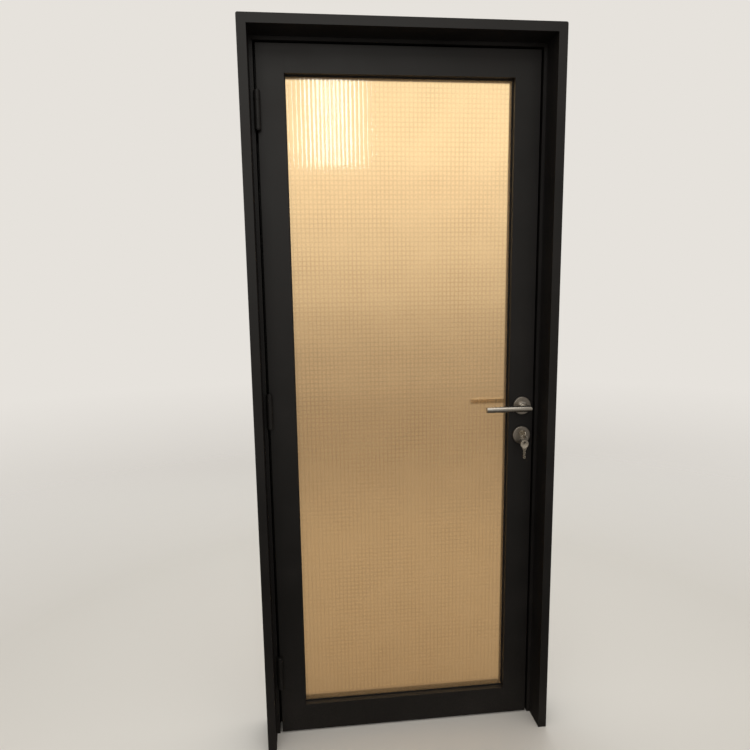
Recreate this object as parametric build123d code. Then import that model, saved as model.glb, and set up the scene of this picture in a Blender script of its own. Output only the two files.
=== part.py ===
"""Glass door in its aluminium frame, all sizes in millimetres.

The doorway is centred on x = 0 and the floor is z = 0. The viewer stands on the -Y side, and the leaf hangs on
the left, at -X. While the parts are built, y is counted from the front of the cover trim into the wall, and each
part is moved by half the overall depth when it is written, so that the origin is at the middle of the base.
"""

import os
from math import cos, radians, sin, sqrt

from build123d import *

# Overall size of the frame
frame_width = 884.0
frame_height = 2100.0

# Cover trim on the viewer's side: a face strip, a lip at its outer edge, a deep reveal leg and a foot
trim_face = 25.0
trim_gauge = 2.0
trim_lip = 14.0
trim_foot = 14.0
trim_corner_radius = 5.0
reveal_depth = 75.0

# Main frame behind the trim
frame_wall = 2.0
jamb_setback = 5.0
jamb_step = 9.5
stop_overlap = 6.0
stop_depth = 22.0
seal_space = 4.0
seal_width = 8.0
seal_slot_width = 3.0
seal_past_leaf_edge = 1.0

# Door leaf
leaf_gap = 7.5
floor_clearance = 6.0
leaf_thickness = 50.0
leaf_wall = 2.0
stile_face = 75.0
top_rail_face = 75.0
bottom_rail_face = 88.0
flange_reach = 23.0
return_depth = 18.0
gasket_seat = 7.0

# Glass, gaskets and beads
glass_thickness = 6.0
glass_edge_cover = 15.0
reed_pitch_across = 12.2
reed_pitch_up = 13.2
reed_depth = 0.8
gasket_thickness = 2.0
gasket_lip = 3.0
gasket_stem = 1.6
gasket_stem_depth = 4.0
bead_wall = 2.0
rib_reach = 2.5
rib_gauge = 2.0
rib_back = 11.0
block_length = 100.0
block_inset = 110.0

# Corner joints
corner_block_length = 45.0
leaf_joint_spread = 0.2
corner_block_wall = 6.0
block_fit = 0.15
joint_screw_radius = 3.0
joint_screw_head_radius = 5.5
joint_screw_head = 4.0
joint_screw_length = 28.0

# Fixing holes through the jambs into the wall
wall_hole_radius = 5.0
wall_hole_first = 150.0
wall_hole_top_drop = 300.0
wall_hole_count = 4
wall_hole_from_step = 30.0

# Trim screws
trim_screw_radius = 1.6
trim_screw_head_radius = 3.4
trim_screw_head = 1.6
trim_screw_length = 12.0
trim_screw_first = 260.0
trim_screw_top_drop = 280.0
trim_screw_count = 4
trim_screw_edge = 4.6

# Hinges
hinge_radius = 9.0
hinge_height = 100.0
hinge_middle_share = 0.49
hinge_top_drop = 175.0
hinge_bottom_rise = 209.0
hinge_face_clearance = 1.0
hinge_knuckle_gap = 0.5
wing_gauge = 2.5
wing_depth = 37.0
pin_radius = 4.0
pin_running_fit = 0.05
pin_held_fit = 0.02
pin_cap_radius = 7.0
pin_cap_height = 3.5
pin_cap_edge = 2.1
wing_screw_radius = 2.2
wing_screw_head_radius = 4.0
wing_screw_head = 2.2
wing_screw_length = 12.0
wing_screw_spacing = 35.0
wing_screw_edge = 17.0

# Lock and handle
lever_height = 1040.0
lever_to_plug = 85.0
lever_to_lower_rose = 92.0
backset = 35.0
rose_radius = 27.5
rose_depth = 8.0
rose_wall = 1.5
rose_edge = 2.0
rose_base_fit = 0.3
rose_screw_circle = 19.0
rose_screw_radius = 1.8
rose_screw_head_radius = 3.2
rose_screw_head = 2.0
rose_screw_length = 9.0
lever_radius = 9.0
lever_reach = 57.0
lever_length = 137.5
lever_end_chamfer = 1.5
lever_end_gap = 0.5
collar_radius = 14.0
collar_depth = 3.0
neck_bore_radius = 12.0
spindle_side = 8.0
spindle_fit = 0.1
spindle_depth = 30.0
grub_screw_radius = 3.0
grub_screw_place = 7.0
running_fit = 0.05
loose_fit = 0.3

# Lock case, bolts and follower
case_height_above_lever = 48.0
case_height_below_plug = 62.0
case_depth = 49.0
case_thickness = 16.0
case_wall = 2.0
faceplate_end = 25.0
faceplate_width = 22.0
faceplate_gauge = 2.5
faceplate_screw_inset = 8.5
faceplate_screw_radius = 2.2
faceplate_screw_head_radius = 4.0
faceplate_screw_head = 2.0
faceplate_screw_length = 11.0
latch_height = 30.0
latch_rise = 25.0
latch_length = 26.5
latch_throw = 12.0
latch_bevel = 8.0
latch_flat = 2.0
tail_height = 7.5
tail_gauge = 6.0
hook_gauge = 2.0
arm_length = 17.6
arm_radius = 2.5
arm_lean = 25.0
arm_gap = 0.6
follower_radius = 9.0
arm_gauge = 5.0
deadbolt_height = 36.0
deadbolt_rise = 35.0
deadbolt_length = 30.5
bolt_thickness = 11.4
bolt_clearance = 0.3
bolt_chamfer = 0.8
strike_gauge = 2.0
strike_height = 160.0
strike_width = 24.0
strike_screw_inset = 9.0
strike_mouth = 1.5
plate_corner_radius = 3.0

# Profile cylinder, key and ring
cylinder_round_radius = 8.5
cylinder_slot_width = 10.0
cylinder_drop = 24.5
cylinder_proud = 2.0
cam_width = 9.0
cam_space = 10.0
cam_radius = 7.9
lobe_reach = 11.5
lobe_width = 8.0
cam_floor = 14.2
plug_radius = 6.5
keyway_width = 2.4
keyway_height = 9.0
cylinder_screw_radius = 2.5
cylinder_screw_drop = 18.0
key_gauge = 2.0
key_blade_height = 8.2
key_blade_length = 29.0
key_neck_length = 4.0
key_bow_radius = 12.5
key_hole_radius = 4.0
key_hole_offset = 6.0
key_cut_count = 5
key_cut_shallow = 1.2
key_cut_step = 0.9
key_tip_slope = 3.0
key_tip_room = 4.0
ring_radius = 10.0
ring_wire_radius = 0.8
ring_seat = 1.9

# Bottom brush
brush_holder_width = 12.0
brush_width = 5.0
brush_floor_gap = 1.0

# Places worked out from the sizes above
half_width = frame_width / 2
jamb_face = trim_face + jamb_step
leaf_inset = jamb_face + leaf_gap
leaf_front = reveal_depth
leaf_back = leaf_front + leaf_thickness
stop_front = leaf_back + seal_space
frame_back = stop_front + stop_depth
stop_edge = leaf_inset + stop_overlap
seal_middle = leaf_inset + seal_past_leaf_edge
leaf_side = half_width - leaf_inset
leaf_top = frame_height - leaf_inset
leaf_bottom = floor_clearance
leaf_middle_y = leaf_front + leaf_thickness / 2
jamb_side = half_width - jamb_face
overall_depth = leaf_back + lever_reach + lever_radius

glass_front = leaf_front + return_depth + gasket_thickness
glass_back = glass_front + glass_thickness
bead_front = glass_back + gasket_thickness - leaf_front
chamber = stile_face - flange_reach
top_chamber = top_rail_face - flange_reach
bottom_chamber = bottom_rail_face - flange_reach
glass_side = leaf_side - stile_face + glass_edge_cover
glass_top = leaf_top - top_rail_face + glass_edge_cover
glass_bottom = leaf_bottom + bottom_rail_face - glass_edge_cover

hinge_x = -leaf_side
hinge_y = leaf_front - hinge_face_clearance - hinge_radius
lever_x = leaf_side - backset
plug_z = lever_height - lever_to_plug
lower_rose_z = lever_height - lever_to_lower_rose
cylinder_front = leaf_front - rose_depth - cylinder_proud
cylinder_back = leaf_back + rose_depth + cylinder_proud
lever_front_y = leaf_front - lever_reach
lever_back_y = leaf_back + lever_reach
key_hole_y = cylinder_front - key_neck_length - key_bow_radius - key_hole_offset
ring_z = plug_z - ring_seat - ring_radius
spare_hole_z = plug_z - 2 * ring_seat - 2 * ring_radius

# Directions
RIGHT = Vector(1, 0, 0)
LEFT = Vector(-1, 0, 0)
BACK = Vector(0, 1, 0)
FRONT = Vector(0, -1, 0)
UP = Vector(0, 0, 1)
DOWN = Vector(0, 0, -1)


def block(x0, x1, y0, y1, z0, z1):
    """A box given by its two limits on each axis."""
    middle = ((x0 + x1) / 2, (y0 + y1) / 2, (z0 + z1) / 2)
    return Pos(*middle) * Box(abs(x1 - x0), abs(y1 - y0), abs(z1 - z0))


def rod(start, direction, radius, length):
    """A round bar from a start point along a direction."""
    plane = Plane(origin=start, z_dir=direction)
    return plane * Cylinder(radius, length, align=(Align.CENTER, Align.CENTER, Align.MIN))


def outline(points):
    """A flat face inside a closed outline of straight edges."""
    return make_face(Polyline(*points, close=True).edges())


def rectangle(u0, u1, v0, v1):
    """A flat rectangle in section coordinates."""
    return outline([(u0, v0), (u1, v0), (u1, v1), (u0, v1)])


def member(section, start, inward, length):
    """A profile bar: section u runs inward from its outer edge, v runs back into the wall."""
    plane = Plane(origin=start, x_dir=inward, z_dir=inward.cross(BACK))
    return extrude(plane * section, amount=length)


def screw(start, direction, radius, length, head_radius, head, countersunk=False):
    """A plain screw: its head's outer face is at start and its shank runs along direction."""
    if countersunk:
        points = [(0, 0), (head_radius, 0), (radius, head), (radius, length), (0, length)]
    else:
        points = [(0, 0), (head_radius, 0), (head_radius, head), (radius, head), (radius, length), (0, length)]
    side = UP if abs(direction.dot(UP)) < 0.5 else RIGHT
    plane = Plane(origin=start, x_dir=side, z_dir=side.cross(direction))
    return revolve(plane * outline(points), axis=Axis(start, direction))


# Frame profiles


def trim_section():
    """Cover trim: lip, face, reveal leg and the foot that lies on the main frame."""
    g = trim_gauge
    return outline([
        (0, 0), (trim_face, 0), (trim_face, reveal_depth), (trim_face - trim_foot, reveal_depth),
        (trim_face - trim_foot, reveal_depth - g), (trim_face - g, reveal_depth - g), (trim_face - g, g),
        (g, g), (g, trim_lip), (0, trim_lip),
    ])


def seal_slot():
    """Slot for the seal's stem, through the front wall of the stop."""
    half = seal_slot_width / 2
    return rectangle(seal_middle - half, seal_middle + half, stop_front - 1, stop_front + frame_wall + 0.01)


def jamb_section():
    """Main frame profile: a step chamber beside the leaf and a stop chamber behind it."""
    w = frame_wall
    outer = outline([
        (jamb_setback, reveal_depth), (jamb_face, reveal_depth), (jamb_face, stop_front),
        (stop_edge, stop_front), (stop_edge, frame_back), (jamb_setback, frame_back),
    ])
    step_chamber = rectangle(jamb_setback + w, jamb_face - w, reveal_depth + w, frame_back - w)
    stop_chamber = rectangle(jamb_face, stop_edge - w, stop_front + w, frame_back - w)
    return outer - step_chamber - stop_chamber - seal_slot()


def frame_seal_section():
    """Push-in seal: an arched lip in front of the stop, a stem in the slot and a barb behind it."""
    half = seal_width / 2
    stem = seal_slot_width / 2 - 0.1
    barb = seal_slot_width / 2 + 1.1
    base = stop_front - 1
    behind = stop_front + frame_wall
    arch = ThreePointArc((-half, base), (0, stop_front - seal_space + loose_fit), (half, base))
    rest = Polyline(
        (half, base), (half, stop_front), (stem, stop_front), (stem, behind), (barb, behind), (0, behind + 3),
        (-barb, behind), (-stem, behind), (-stem, stop_front), (-half, stop_front), (-half, base),
    )
    return Pos(seal_middle, 0) * make_face([arch, *rest.edges()])


def frame_ends(section, section_depth):
    """Left post, right post and head run of one frame profile, with the head cut square between the posts."""
    left = member(section, (-half_width, 0, 0), RIGHT, frame_height)
    right = member(section, (half_width, 0, frame_height), LEFT, frame_height)
    head = member(section, (-half_width + section_depth, 0, frame_height), DOWN,
                  2 * (half_width - section_depth))
    return left, right, head


def even_heights(low, high, count):
    """Heights spread evenly from low to high."""
    return [low + (high - low) * i / (count - 1) for i in range(count)]


def wall_hole_heights():
    """Heights of the fixing holes in each jamb."""
    return even_heights(wall_hole_first, frame_height - wall_hole_top_drop, wall_hole_count)


def trim_screw_heights():
    """Heights of the screws through each jamb trim's foot."""
    return even_heights(trim_screw_first, frame_height - trim_screw_top_drop, trim_screw_count)


def trim_screw_distance():
    """Distance of the trim screws from the trim's outer edge."""
    return trim_face - trim_foot + trim_screw_edge


def trim_screw_places():
    """Start points of all the trim screws, on the foot of the trim."""
    y = reveal_depth - trim_gauge
    u = trim_screw_distance()
    places = []
    for z in trim_screw_heights():
        places += [(-half_width + u, y, z), (half_width - u, y, z)]
    for x in (-frame_width / 4, frame_width / 4):
        places.append((x, y, frame_height - u))
    return places


def trims():
    """The three lengths of cover trim."""
    left, right, head = frame_ends(trim_section(), trim_face)
    corner_x = half_width - trim_corner_radius
    corner_z = frame_height - trim_corner_radius
    for sign in (-1, 1):
        square = block(sign * corner_x, sign * (half_width + 1), -1, reveal_depth + 1, corner_z, frame_height + 1)
        square -= rod((sign * corner_x, -2, corner_z), BACK, trim_corner_radius, reveal_depth + 4)
        if sign < 0:
            left -= square
        else:
            right -= square
    holes = [rod(p, BACK, trim_screw_radius, trim_gauge) for p in trim_screw_places()]
    return {
        "hinge_side_trim": left - holes,
        "lock_side_trim": right - holes,
        "head_trim": head - holes,
    }


def bolt_mouth(z_middle, height, reach, extra):
    """The hole that a bolt needs at the lock jamb."""
    half_y = bolt_thickness / 2 + extra
    return block(jamb_side - strike_gauge - 1, jamb_side + reach, leaf_middle_y - half_y, leaf_middle_y + half_y,
                 z_middle - height / 2 - extra, z_middle + height / 2 + extra)


def strike_middle():
    """Height of the strike plate's middle, halfway between the two bolts."""
    return (lever_height + latch_rise + plug_z + deadbolt_rise) / 2


def strike_screw_places():
    """Start points of the strike plate's screws."""
    reach = strike_height / 2 - strike_screw_inset
    x = jamb_side - strike_gauge
    return [(x, leaf_middle_y, strike_middle() + side * reach) for side in (-1, 1)]


def jambs():
    """The three lengths of the main frame, with the head coped round the stops of the jambs."""
    left, right, head = frame_ends(jamb_section(), jamb_face)
    left = left & block(-half_width, 0, 0, frame_back, 0, frame_height - jamb_setback)
    right = right & block(0, half_width, 0, frame_back, 0, frame_height - jamb_setback)
    for sign in (-1, 1):
        head -= block(sign * (half_width - stop_edge), sign * half_width, stop_front, frame_back + 1, 0,
                      frame_height)
    y = reveal_depth + wall_hole_from_step
    anchors = [rod((-half_width, y, z), RIGHT, wall_hole_radius, frame_width) for z in wall_hole_heights()]
    trim_threads = [rod(p, BACK, trim_screw_radius, trim_screw_length) for p in trim_screw_places()]
    joints = frame_joint_screws(hole=True)
    wing_places = wing_screw_places(-jamb_side + wing_gauge)
    left = left - anchors - trim_threads - joints
    left -= [rod(p, LEFT, wing_screw_radius, wing_screw_length) for p in wing_places]
    right = right - anchors - trim_threads - joints
    right -= bolt_mouth(lever_height + latch_rise, latch_height, frame_wall + 1, strike_mouth)
    right -= bolt_mouth(plug_z + deadbolt_rise, deadbolt_height, frame_wall + 1, strike_mouth)
    right -= [rod(p, RIGHT, faceplate_screw_radius, faceplate_screw_length) for p in strike_screw_places()]
    return {"hinge_jamb": left, "lock_jamb": right, "head_jamb": head - trim_threads}


def frame_joint_screws(hole=False):
    """Screws through each jamb's inner wall into the corner blocks in the head."""
    z = frame_height - (jamb_setback + jamb_face) / 2
    screws = []
    for sign in (-1, 1):
        inward = Vector(-sign, 0, 0)
        start_x = sign * (jamb_side + frame_wall)
        for y in (reveal_depth + frame_joint_spacing(), stop_front - frame_joint_spacing()):
            if hole:
                screws.append(rod((start_x, y, z), inward, joint_screw_radius, joint_screw_length))
            else:
                start = (start_x - inward.X * joint_screw_head, y, z)
                screws.append(screw(start, inward, joint_screw_radius, joint_screw_length,
                                    joint_screw_head_radius, joint_screw_head))
    return screws


def frame_joint_spacing():
    """Distance of the joint screws from the front of the main frame and from the front of its stop."""
    return (stop_front - reveal_depth) / 3


def frame_corner_blocks():
    """Blocks that fill the ends of the head's chamber and carry it on the jambs."""
    inner = frame_wall + block_fit
    z0 = frame_height - jamb_face + inner
    z1 = frame_height - jamb_setback - inner
    blocks = []
    for sign in (-1, 1):
        x0 = sign * jamb_side
        x1 = sign * (jamb_side - corner_block_length)
        body = block(x0, x1, reveal_depth + inner, stop_front - 1, z0, z1)
        body += block(sign * (half_width - stop_edge - 1), x1, stop_front - 1, frame_back - inner, z0, z1)
        blocks.append(body)
    return Compound([b - frame_joint_screws(hole=True) for b in blocks])


def frame_seals():
    """Seals in the slots of the two jambs and the head."""
    left, right, head = frame_ends(frame_seal_section(), seal_middle + seal_width / 2)
    limit = frame_height - seal_middle + seal_width / 2
    left = left & block(-half_width, 0, 0, frame_back, loose_fit, limit)
    right = right & block(0, half_width, 0, frame_back, loose_fit, limit)
    return {"hinge_side_seal": left, "lock_side_seal": right, "head_seal": head}


def strike_plate():
    """Plate on the lock jamb with a mouth for the latch and one for the deadbolt."""
    z = strike_middle()
    plate = block(jamb_side - strike_gauge, jamb_side, leaf_middle_y - strike_width / 2,
                  leaf_middle_y + strike_width / 2, z - strike_height / 2, z + strike_height / 2)
    edges = plate.edges().filter_by(Axis.X)
    plate = fillet(edges, plate_corner_radius)
    plate -= bolt_mouth(lever_height + latch_rise, latch_height, 1, strike_mouth / 2)
    plate -= bolt_mouth(plug_z + deadbolt_rise, deadbolt_height, 1, strike_mouth / 2)
    return plate - plate_screws(strike_screw_places(), RIGHT)


def plate_screws(places, direction):
    """Countersunk screws for the strike plate or the faceplate."""
    return [screw(p, direction, faceplate_screw_radius, faceplate_screw_length, faceplate_screw_head_radius,
                  faceplate_screw_head, countersunk=True) for p in places]


# Hinges


def hinge_heights():
    """Middle heights of the bottom, middle and top hinge."""
    low = leaf_bottom + hinge_bottom_rise
    high = leaf_top - hinge_top_drop
    return [low, (low + high) / 2, high]


def wing_screw_places(x):
    """Start points of the screws of all the hinge wings on one plane."""
    y = hinge_y + wing_depth + hinge_radius - wing_screw_edge
    places = []
    for z in hinge_heights():
        for step in (-1, 0, 1):
            places.append((x, y, z + step * wing_screw_spacing))
    return places


def wing_screws(x, direction):
    """The screws of all the wings on one plane."""
    return [screw(p, direction, wing_screw_radius, wing_screw_length, wing_screw_head_radius, wing_screw_head,
                  countersunk=True) for p in wing_screw_places(x)]


def hinge_wing(x0, x1, z, knuckles, bore):
    """A wing plate in the gap beside the leaf, with the knuckles that it carries on the pin's axis."""
    root_y = leaf_front + hinge_knuckle_gap
    wing = block(x0, x1, root_y, hinge_y + wing_depth + hinge_radius, z - hinge_height / 2, z + hinge_height / 2)
    for low, high in knuckles:
        wing += block(x0, x1, hinge_y, root_y, z + low, z + high)
        wing += rod((hinge_x, hinge_y, z + low), UP, hinge_radius, high - low)
    return wing - rod((hinge_x, hinge_y, z - hinge_height), UP, bore, 2 * hinge_height)


def hinge_frame_wing(z):
    """Wing on the hinge jamb, with the upper and the lower knuckle."""
    half = hinge_height / 2
    middle = hinge_height * hinge_middle_share / 2 + hinge_knuckle_gap
    x0 = -jamb_side
    knuckles = [(-half, -middle), (middle, half)]
    wing = hinge_wing(x0, x0 + wing_gauge, z, knuckles, pin_radius + pin_held_fit)
    return wing - wing_screws(x0 + wing_gauge, LEFT)


def hinge_leaf_wing(z):
    """Wing on the hinge stile, with the middle knuckle."""
    middle = hinge_height * hinge_middle_share / 2
    x1 = -leaf_side
    knuckles = [(-middle, middle)]
    wing = hinge_wing(x1 - wing_gauge, x1, z, knuckles, pin_radius + pin_running_fit)
    return wing - wing_screws(x1 - wing_gauge, RIGHT)


def hinge_pin(z):
    """Pin through the knuckles with a domed cap at each end."""
    half = hinge_height / 2
    pin = rod((hinge_x, hinge_y, z - half), UP, pin_radius, hinge_height)
    for side in (-1, 1):
        cap = rod((hinge_x, hinge_y, z + side * half), Vector(0, 0, side), pin_cap_radius, pin_cap_height)
        rim = cap.edges().filter_by(GeomType.CIRCLE).sort_by(Axis.Z)
        cap = fillet(rim[-1] if side > 0 else rim[0], pin_cap_edge)
        pin += cap
    return pin


# Leaf profiles


def gasket_slot(face, opening_v, depth):
    """Groove for the gasket's stem, in the seat beside the sight line; depth is signed along v."""
    far = face - gasket_seat / 2 + gasket_stem / 2
    return rectangle(far - gasket_stem, far, opening_v, opening_v + depth)


def leaf_section(face):
    """Stile or rail: a hollow chamber, a front flange, and a hollow nib with the groove of the front gasket."""
    w = leaf_wall
    inner = face - flange_reach
    section = rectangle(0, inner, 0, leaf_thickness) - rectangle(w, inner - w, w, leaf_thickness - w)
    section += rectangle(inner, face, 0, w)
    section += rectangle(face - gasket_seat, face, 0, return_depth)
    section -= rectangle(face - gasket_seat + w, face - w, w, return_depth - gasket_stem_depth - w)
    section += rectangle(inner, inner + rib_reach, leaf_thickness - rib_back, leaf_thickness - rib_back + rib_gauge)
    return section - gasket_slot(face, return_depth, -gasket_stem_depth)


def gasket_profile(face, seat_v, outward):
    """Glazing gasket: a strip between seat and glass, a lip past the sight line and a stem in the groove."""
    section = rectangle(face - gasket_seat + 0.5, face + gasket_lip, seat_v, seat_v + outward * gasket_thickness)
    far = face - gasket_seat / 2 + gasket_stem / 2 - 0.1
    return section + rectangle(far - gasket_stem + 0.2, far, seat_v, seat_v - outward * (gasket_stem_depth - 0.2))


def bead_section(face):
    """Glazing bead: nib with the gasket's groove, sight face, back face and a leg hooked in front of the rib."""
    w = bead_wall
    inner = face - flange_reach
    section = rectangle(face - gasket_seat, face, bead_front, bead_front + gasket_stem_depth + w)
    section += rectangle(face - w, face, bead_front, leaf_thickness)
    section += rectangle(inner, face, leaf_thickness - w, leaf_thickness)
    leg = inner + rib_reach + loose_fit
    hook_back = leaf_thickness - rib_back - loose_fit
    section += rectangle(leg, leg + w, hook_back - w, leaf_thickness)
    section += rectangle(inner + loose_fit, leg + w, hook_back - w, hook_back)
    return section - gasket_slot(face, bead_front, gasket_stem_depth)


def mitred_ring(profile_of_face):
    """A profile carried round the glass opening, with its corners mitred."""
    sides = [
        (profile_of_face(stile_face), (-leaf_side, leaf_front, leaf_bottom), RIGHT),
        (profile_of_face(stile_face), (leaf_side, leaf_front, leaf_top), LEFT),
        (profile_of_face(top_rail_face), (-leaf_side, leaf_front, leaf_top), DOWN),
        (profile_of_face(bottom_rail_face), (leaf_side, leaf_front, leaf_bottom), UP),
    ]
    low = leaf_bottom + bottom_rail_face
    high = leaf_top - top_rail_face
    side = leaf_side - stile_face
    reach = stile_face
    wedge_y = (leaf_front - 1, leaf_back + 1)

    def wedge(points):
        plane = Plane(origin=(0, wedge_y[0], 0), x_dir=(1, 0, 0), z_dir=(0, -1, 0))
        return extrude(plane * outline(points), amount=wedge_y[0] - wedge_y[1])

    middle = (low + high) / 2
    wedges = [
        wedge([(-side, low), (-side - reach, low - reach), (-side - reach, high + reach), (-side, high),
               (0, middle)]),
        wedge([(side, low), (0, middle), (side, high), (side + reach, high + reach), (side + reach, low - reach)]),
        wedge([(-side, high), (-side - reach, high + reach), (side + reach, high + reach), (side, high),
               (0, middle)]),
        wedge([(-side, low), (0, middle), (side, low), (side + reach, low - reach), (-side - reach, low - reach)]),
    ]
    height = leaf_top - leaf_bottom
    lengths = [height, height, 2 * leaf_side, 2 * leaf_side]
    ring = None
    for (section, start, inward), length, cutter in zip(sides, lengths, wedges):
        piece = member(section, start, inward, length) & cutter
        ring = piece if ring is None else ring + piece
    return ring


def stile_reach_blocks():
    """The room that the flanges of both stiles take, which the ends of the rails are coped round."""
    rooms = []
    for sign in (-1, 1):
        rooms.append(block(sign * (leaf_side - stile_face), sign * leaf_side, leaf_front - 1,
                           leaf_front + return_depth, leaf_bottom - 1, leaf_top + 1))
        rooms.append(block(sign * (leaf_side - chamber), sign * leaf_side, leaf_front - 1, leaf_back + 1,
                           leaf_bottom - 1, leaf_top + 1))
        rooms.append(block(sign * (leaf_side - chamber - rib_reach), sign * leaf_side, leaf_back - rib_back,
                           leaf_back - rib_back + rib_gauge, leaf_bottom - 1, leaf_top + 1))
    return rooms


def leaf_joint_screws(hole=False):
    """Screws through the stiles' inner walls into the corner blocks in the rails."""
    screws = []
    middle_y = (leaf_front + return_depth + leaf_back) / 2
    spread = (leaf_thickness - return_depth) * leaf_joint_spread
    heights = [leaf_top - top_chamber / 2, leaf_bottom + bottom_chamber / 2]
    for sign in (-1, 1):
        inward = Vector(-sign, 0, 0)
        start_x = sign * (leaf_side - chamber + leaf_wall)
        for z in heights:
            for y in (middle_y - spread, middle_y + spread):
                if hole:
                    screws.append(rod((start_x, y, z), inward, joint_screw_radius, joint_screw_length))
                else:
                    start = (start_x + sign * joint_screw_head, y, z)
                    screws.append(screw(start, inward, joint_screw_radius, joint_screw_length,
                                        joint_screw_head_radius, joint_screw_head))
    return screws


def stiles_and_rails():
    """The four bars of the leaf, with their cut-outs for hinges and lock."""
    height = leaf_top - leaf_bottom
    left = member(leaf_section(stile_face), (-leaf_side, leaf_front, leaf_bottom), RIGHT, height)
    right = member(leaf_section(stile_face), (leaf_side, leaf_front, leaf_top), LEFT, height)
    top = member(leaf_section(top_rail_face), (-leaf_side, leaf_front, leaf_top), DOWN, 2 * leaf_side)
    bottom = member(leaf_section(bottom_rail_face), (leaf_side, leaf_front, leaf_bottom), UP, 2 * leaf_side)
    rooms = stile_reach_blocks()
    wing_places = wing_screw_places(-leaf_side - wing_gauge)
    threads = [rod(p, RIGHT, wing_screw_radius, wing_screw_length) for p in wing_places]
    joints = leaf_joint_screws(hole=True)
    right -= joints
    right -= block(leaf_side - leaf_wall - 1, leaf_side + 1, leaf_middle_y - case_thickness / 2 - loose_fit,
                   leaf_middle_y + case_thickness / 2 + loose_fit, case_bottom() - loose_fit, case_top() + loose_fit)
    right -= rod((lever_x, leaf_front - 1, lever_height), BACK, neck_bore_radius, leaf_thickness + 2)
    right -= profile_bar(leaf_front - 1, leaf_back + 1, loose_fit)
    right -= [rod(p, LEFT, faceplate_screw_radius, faceplate_screw_length) for p in faceplate_screw_places()]
    right -= [rod(p, d, rose_screw_radius, rose_screw_length) for p, d in rose_screw_places()]
    return {
        "hinge_stile": left - joints - threads,
        "lock_stile": right,
        "top_rail": top - rooms,
        "bottom_rail": bottom - rooms,
    }


def leaf_corner_blocks():
    """Channel blocks in the ends of the rails, which carry them on the stiles."""
    inner = leaf_wall + block_fit
    heights = [
        (leaf_top - top_chamber + inner, leaf_top - inner),
        (leaf_bottom + inner, leaf_bottom + bottom_chamber - inner),
    ]
    blocks = []
    for z0, z1 in heights:
        for sign in (-1, 1):
            x0 = sign * (leaf_side - chamber)
            x1 = x0 - sign * corner_block_length
            y0 = leaf_front + return_depth + block_fit
            y1 = leaf_back - inner
            body = block(x0, x1, y0, y1, z0, z1)
            pocket_x = x0 - sign * joint_screw_length
            body -= block(pocket_x, x1 - sign, y0 + corner_block_wall, y1 - corner_block_wall, z0 - 1, z1 + 1)
            body -= block(x0, x0 - sign * (rib_reach + loose_fit), leaf_back - rib_back - loose_fit,
                          leaf_back - rib_back + rib_gauge + loose_fit, z0 - 1, z1 + 1)
            blocks.append(body - leaf_joint_screws(hole=True))
    return Compound(blocks)


# Glass and what holds it


def reed_edges(start, end, pitch, crest, valley, place):
    """Arcs of one reeded side from start to end, with crest and valley as the two depths."""
    count = max(1, round((end - start) / pitch))
    step = (end - start) / count
    arcs = []
    for i in range(count):
        a = start + i * step
        arcs.append(ThreePointArc(place(a, valley), place(a + step / 2, crest), place(a + step, valley)))
    return arcs


def glass_pane():
    """Patterned pane: upright reeds on the front and level reeds on the back, cut from one plate."""
    width = 2 * glass_side
    height = glass_top - glass_bottom
    front_reeds = reed_edges(-glass_side, glass_side, reed_pitch_across, glass_front, glass_front + reed_depth,
                             lambda a, d: (a, d, glass_bottom))
    back = glass_back + 2
    front_rest = Polyline((glass_side, glass_front + reed_depth, glass_bottom), (glass_side, back, glass_bottom),
                          (-glass_side, back, glass_bottom),
                          (-glass_side, glass_front + reed_depth, glass_bottom))
    front_half = extrude(make_face([*front_reeds, *front_rest.edges()]), amount=height, dir=(0, 0, 1))
    back_reeds = reed_edges(glass_bottom, glass_top, reed_pitch_up, glass_back, glass_back - reed_depth,
                            lambda a, d: (-glass_side - 1, d, a))
    front = glass_front - 2
    x = -glass_side - 1
    back_rest = Polyline((x, glass_back - reed_depth, glass_top), (x, front, glass_top), (x, front, glass_bottom),
                         (x, glass_back - reed_depth, glass_bottom))
    back_half = extrude(make_face([*back_reeds, *back_rest.edges()]), amount=width + 2, dir=(1, 0, 0))
    return front_half & back_half


def glazing_beads():
    """Four beads on the far side: the level ones run through and the upright ones stand between them."""
    side = leaf_side - chamber
    low = leaf_bottom + bottom_chamber
    high = leaf_top - top_chamber
    top = member(bead_section(top_rail_face), (-side, leaf_front, leaf_top), DOWN, 2 * side)
    bottom = member(bead_section(bottom_rail_face), (side, leaf_front, leaf_bottom), UP, 2 * side)
    ribs = stile_reach_blocks()
    z0 = low + flange_reach
    length = high - flange_reach - z0
    left = member(bead_section(stile_face), (-leaf_side, leaf_front, z0), RIGHT, length)
    right = member(bead_section(stile_face), (leaf_side, leaf_front, z0 + length), LEFT, length)
    return {"top_bead": top - ribs, "bottom_bead": bottom - ribs, "hinge_side_bead": left, "lock_side_bead": right}


def setting_blocks():
    """Blocks under the glass and above it, between its edge and the rails."""
    blocks = []
    limits = [(leaf_bottom + bottom_chamber, glass_bottom), (glass_top, leaf_top - top_chamber)]
    for z0, z1 in limits:
        for sign in (-1, 1):
            x0 = sign * (glass_side - block_inset)
            blocks.append(block(x0, x0 - sign * block_length, glass_front + reed_depth, glass_back - reed_depth,
                                z0, z1))
    return Compound(blocks)


def brush_seal():
    """Brush strip under the bottom rail: a holder with the bristles below it."""
    reach = leaf_side - leaf_wall
    top = leaf_bottom + leaf_wall
    holder = block(-reach, reach, leaf_middle_y - brush_holder_width / 2, leaf_middle_y + brush_holder_width / 2,
                   leaf_bottom - leaf_wall, leaf_bottom)
    bristles = block(-reach, reach, leaf_middle_y - brush_width / 2, leaf_middle_y + brush_width / 2,
                     brush_floor_gap, top)
    return holder + (bristles & block(-reach, reach, 0, frame_back, 0, leaf_bottom))


# Lock


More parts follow.
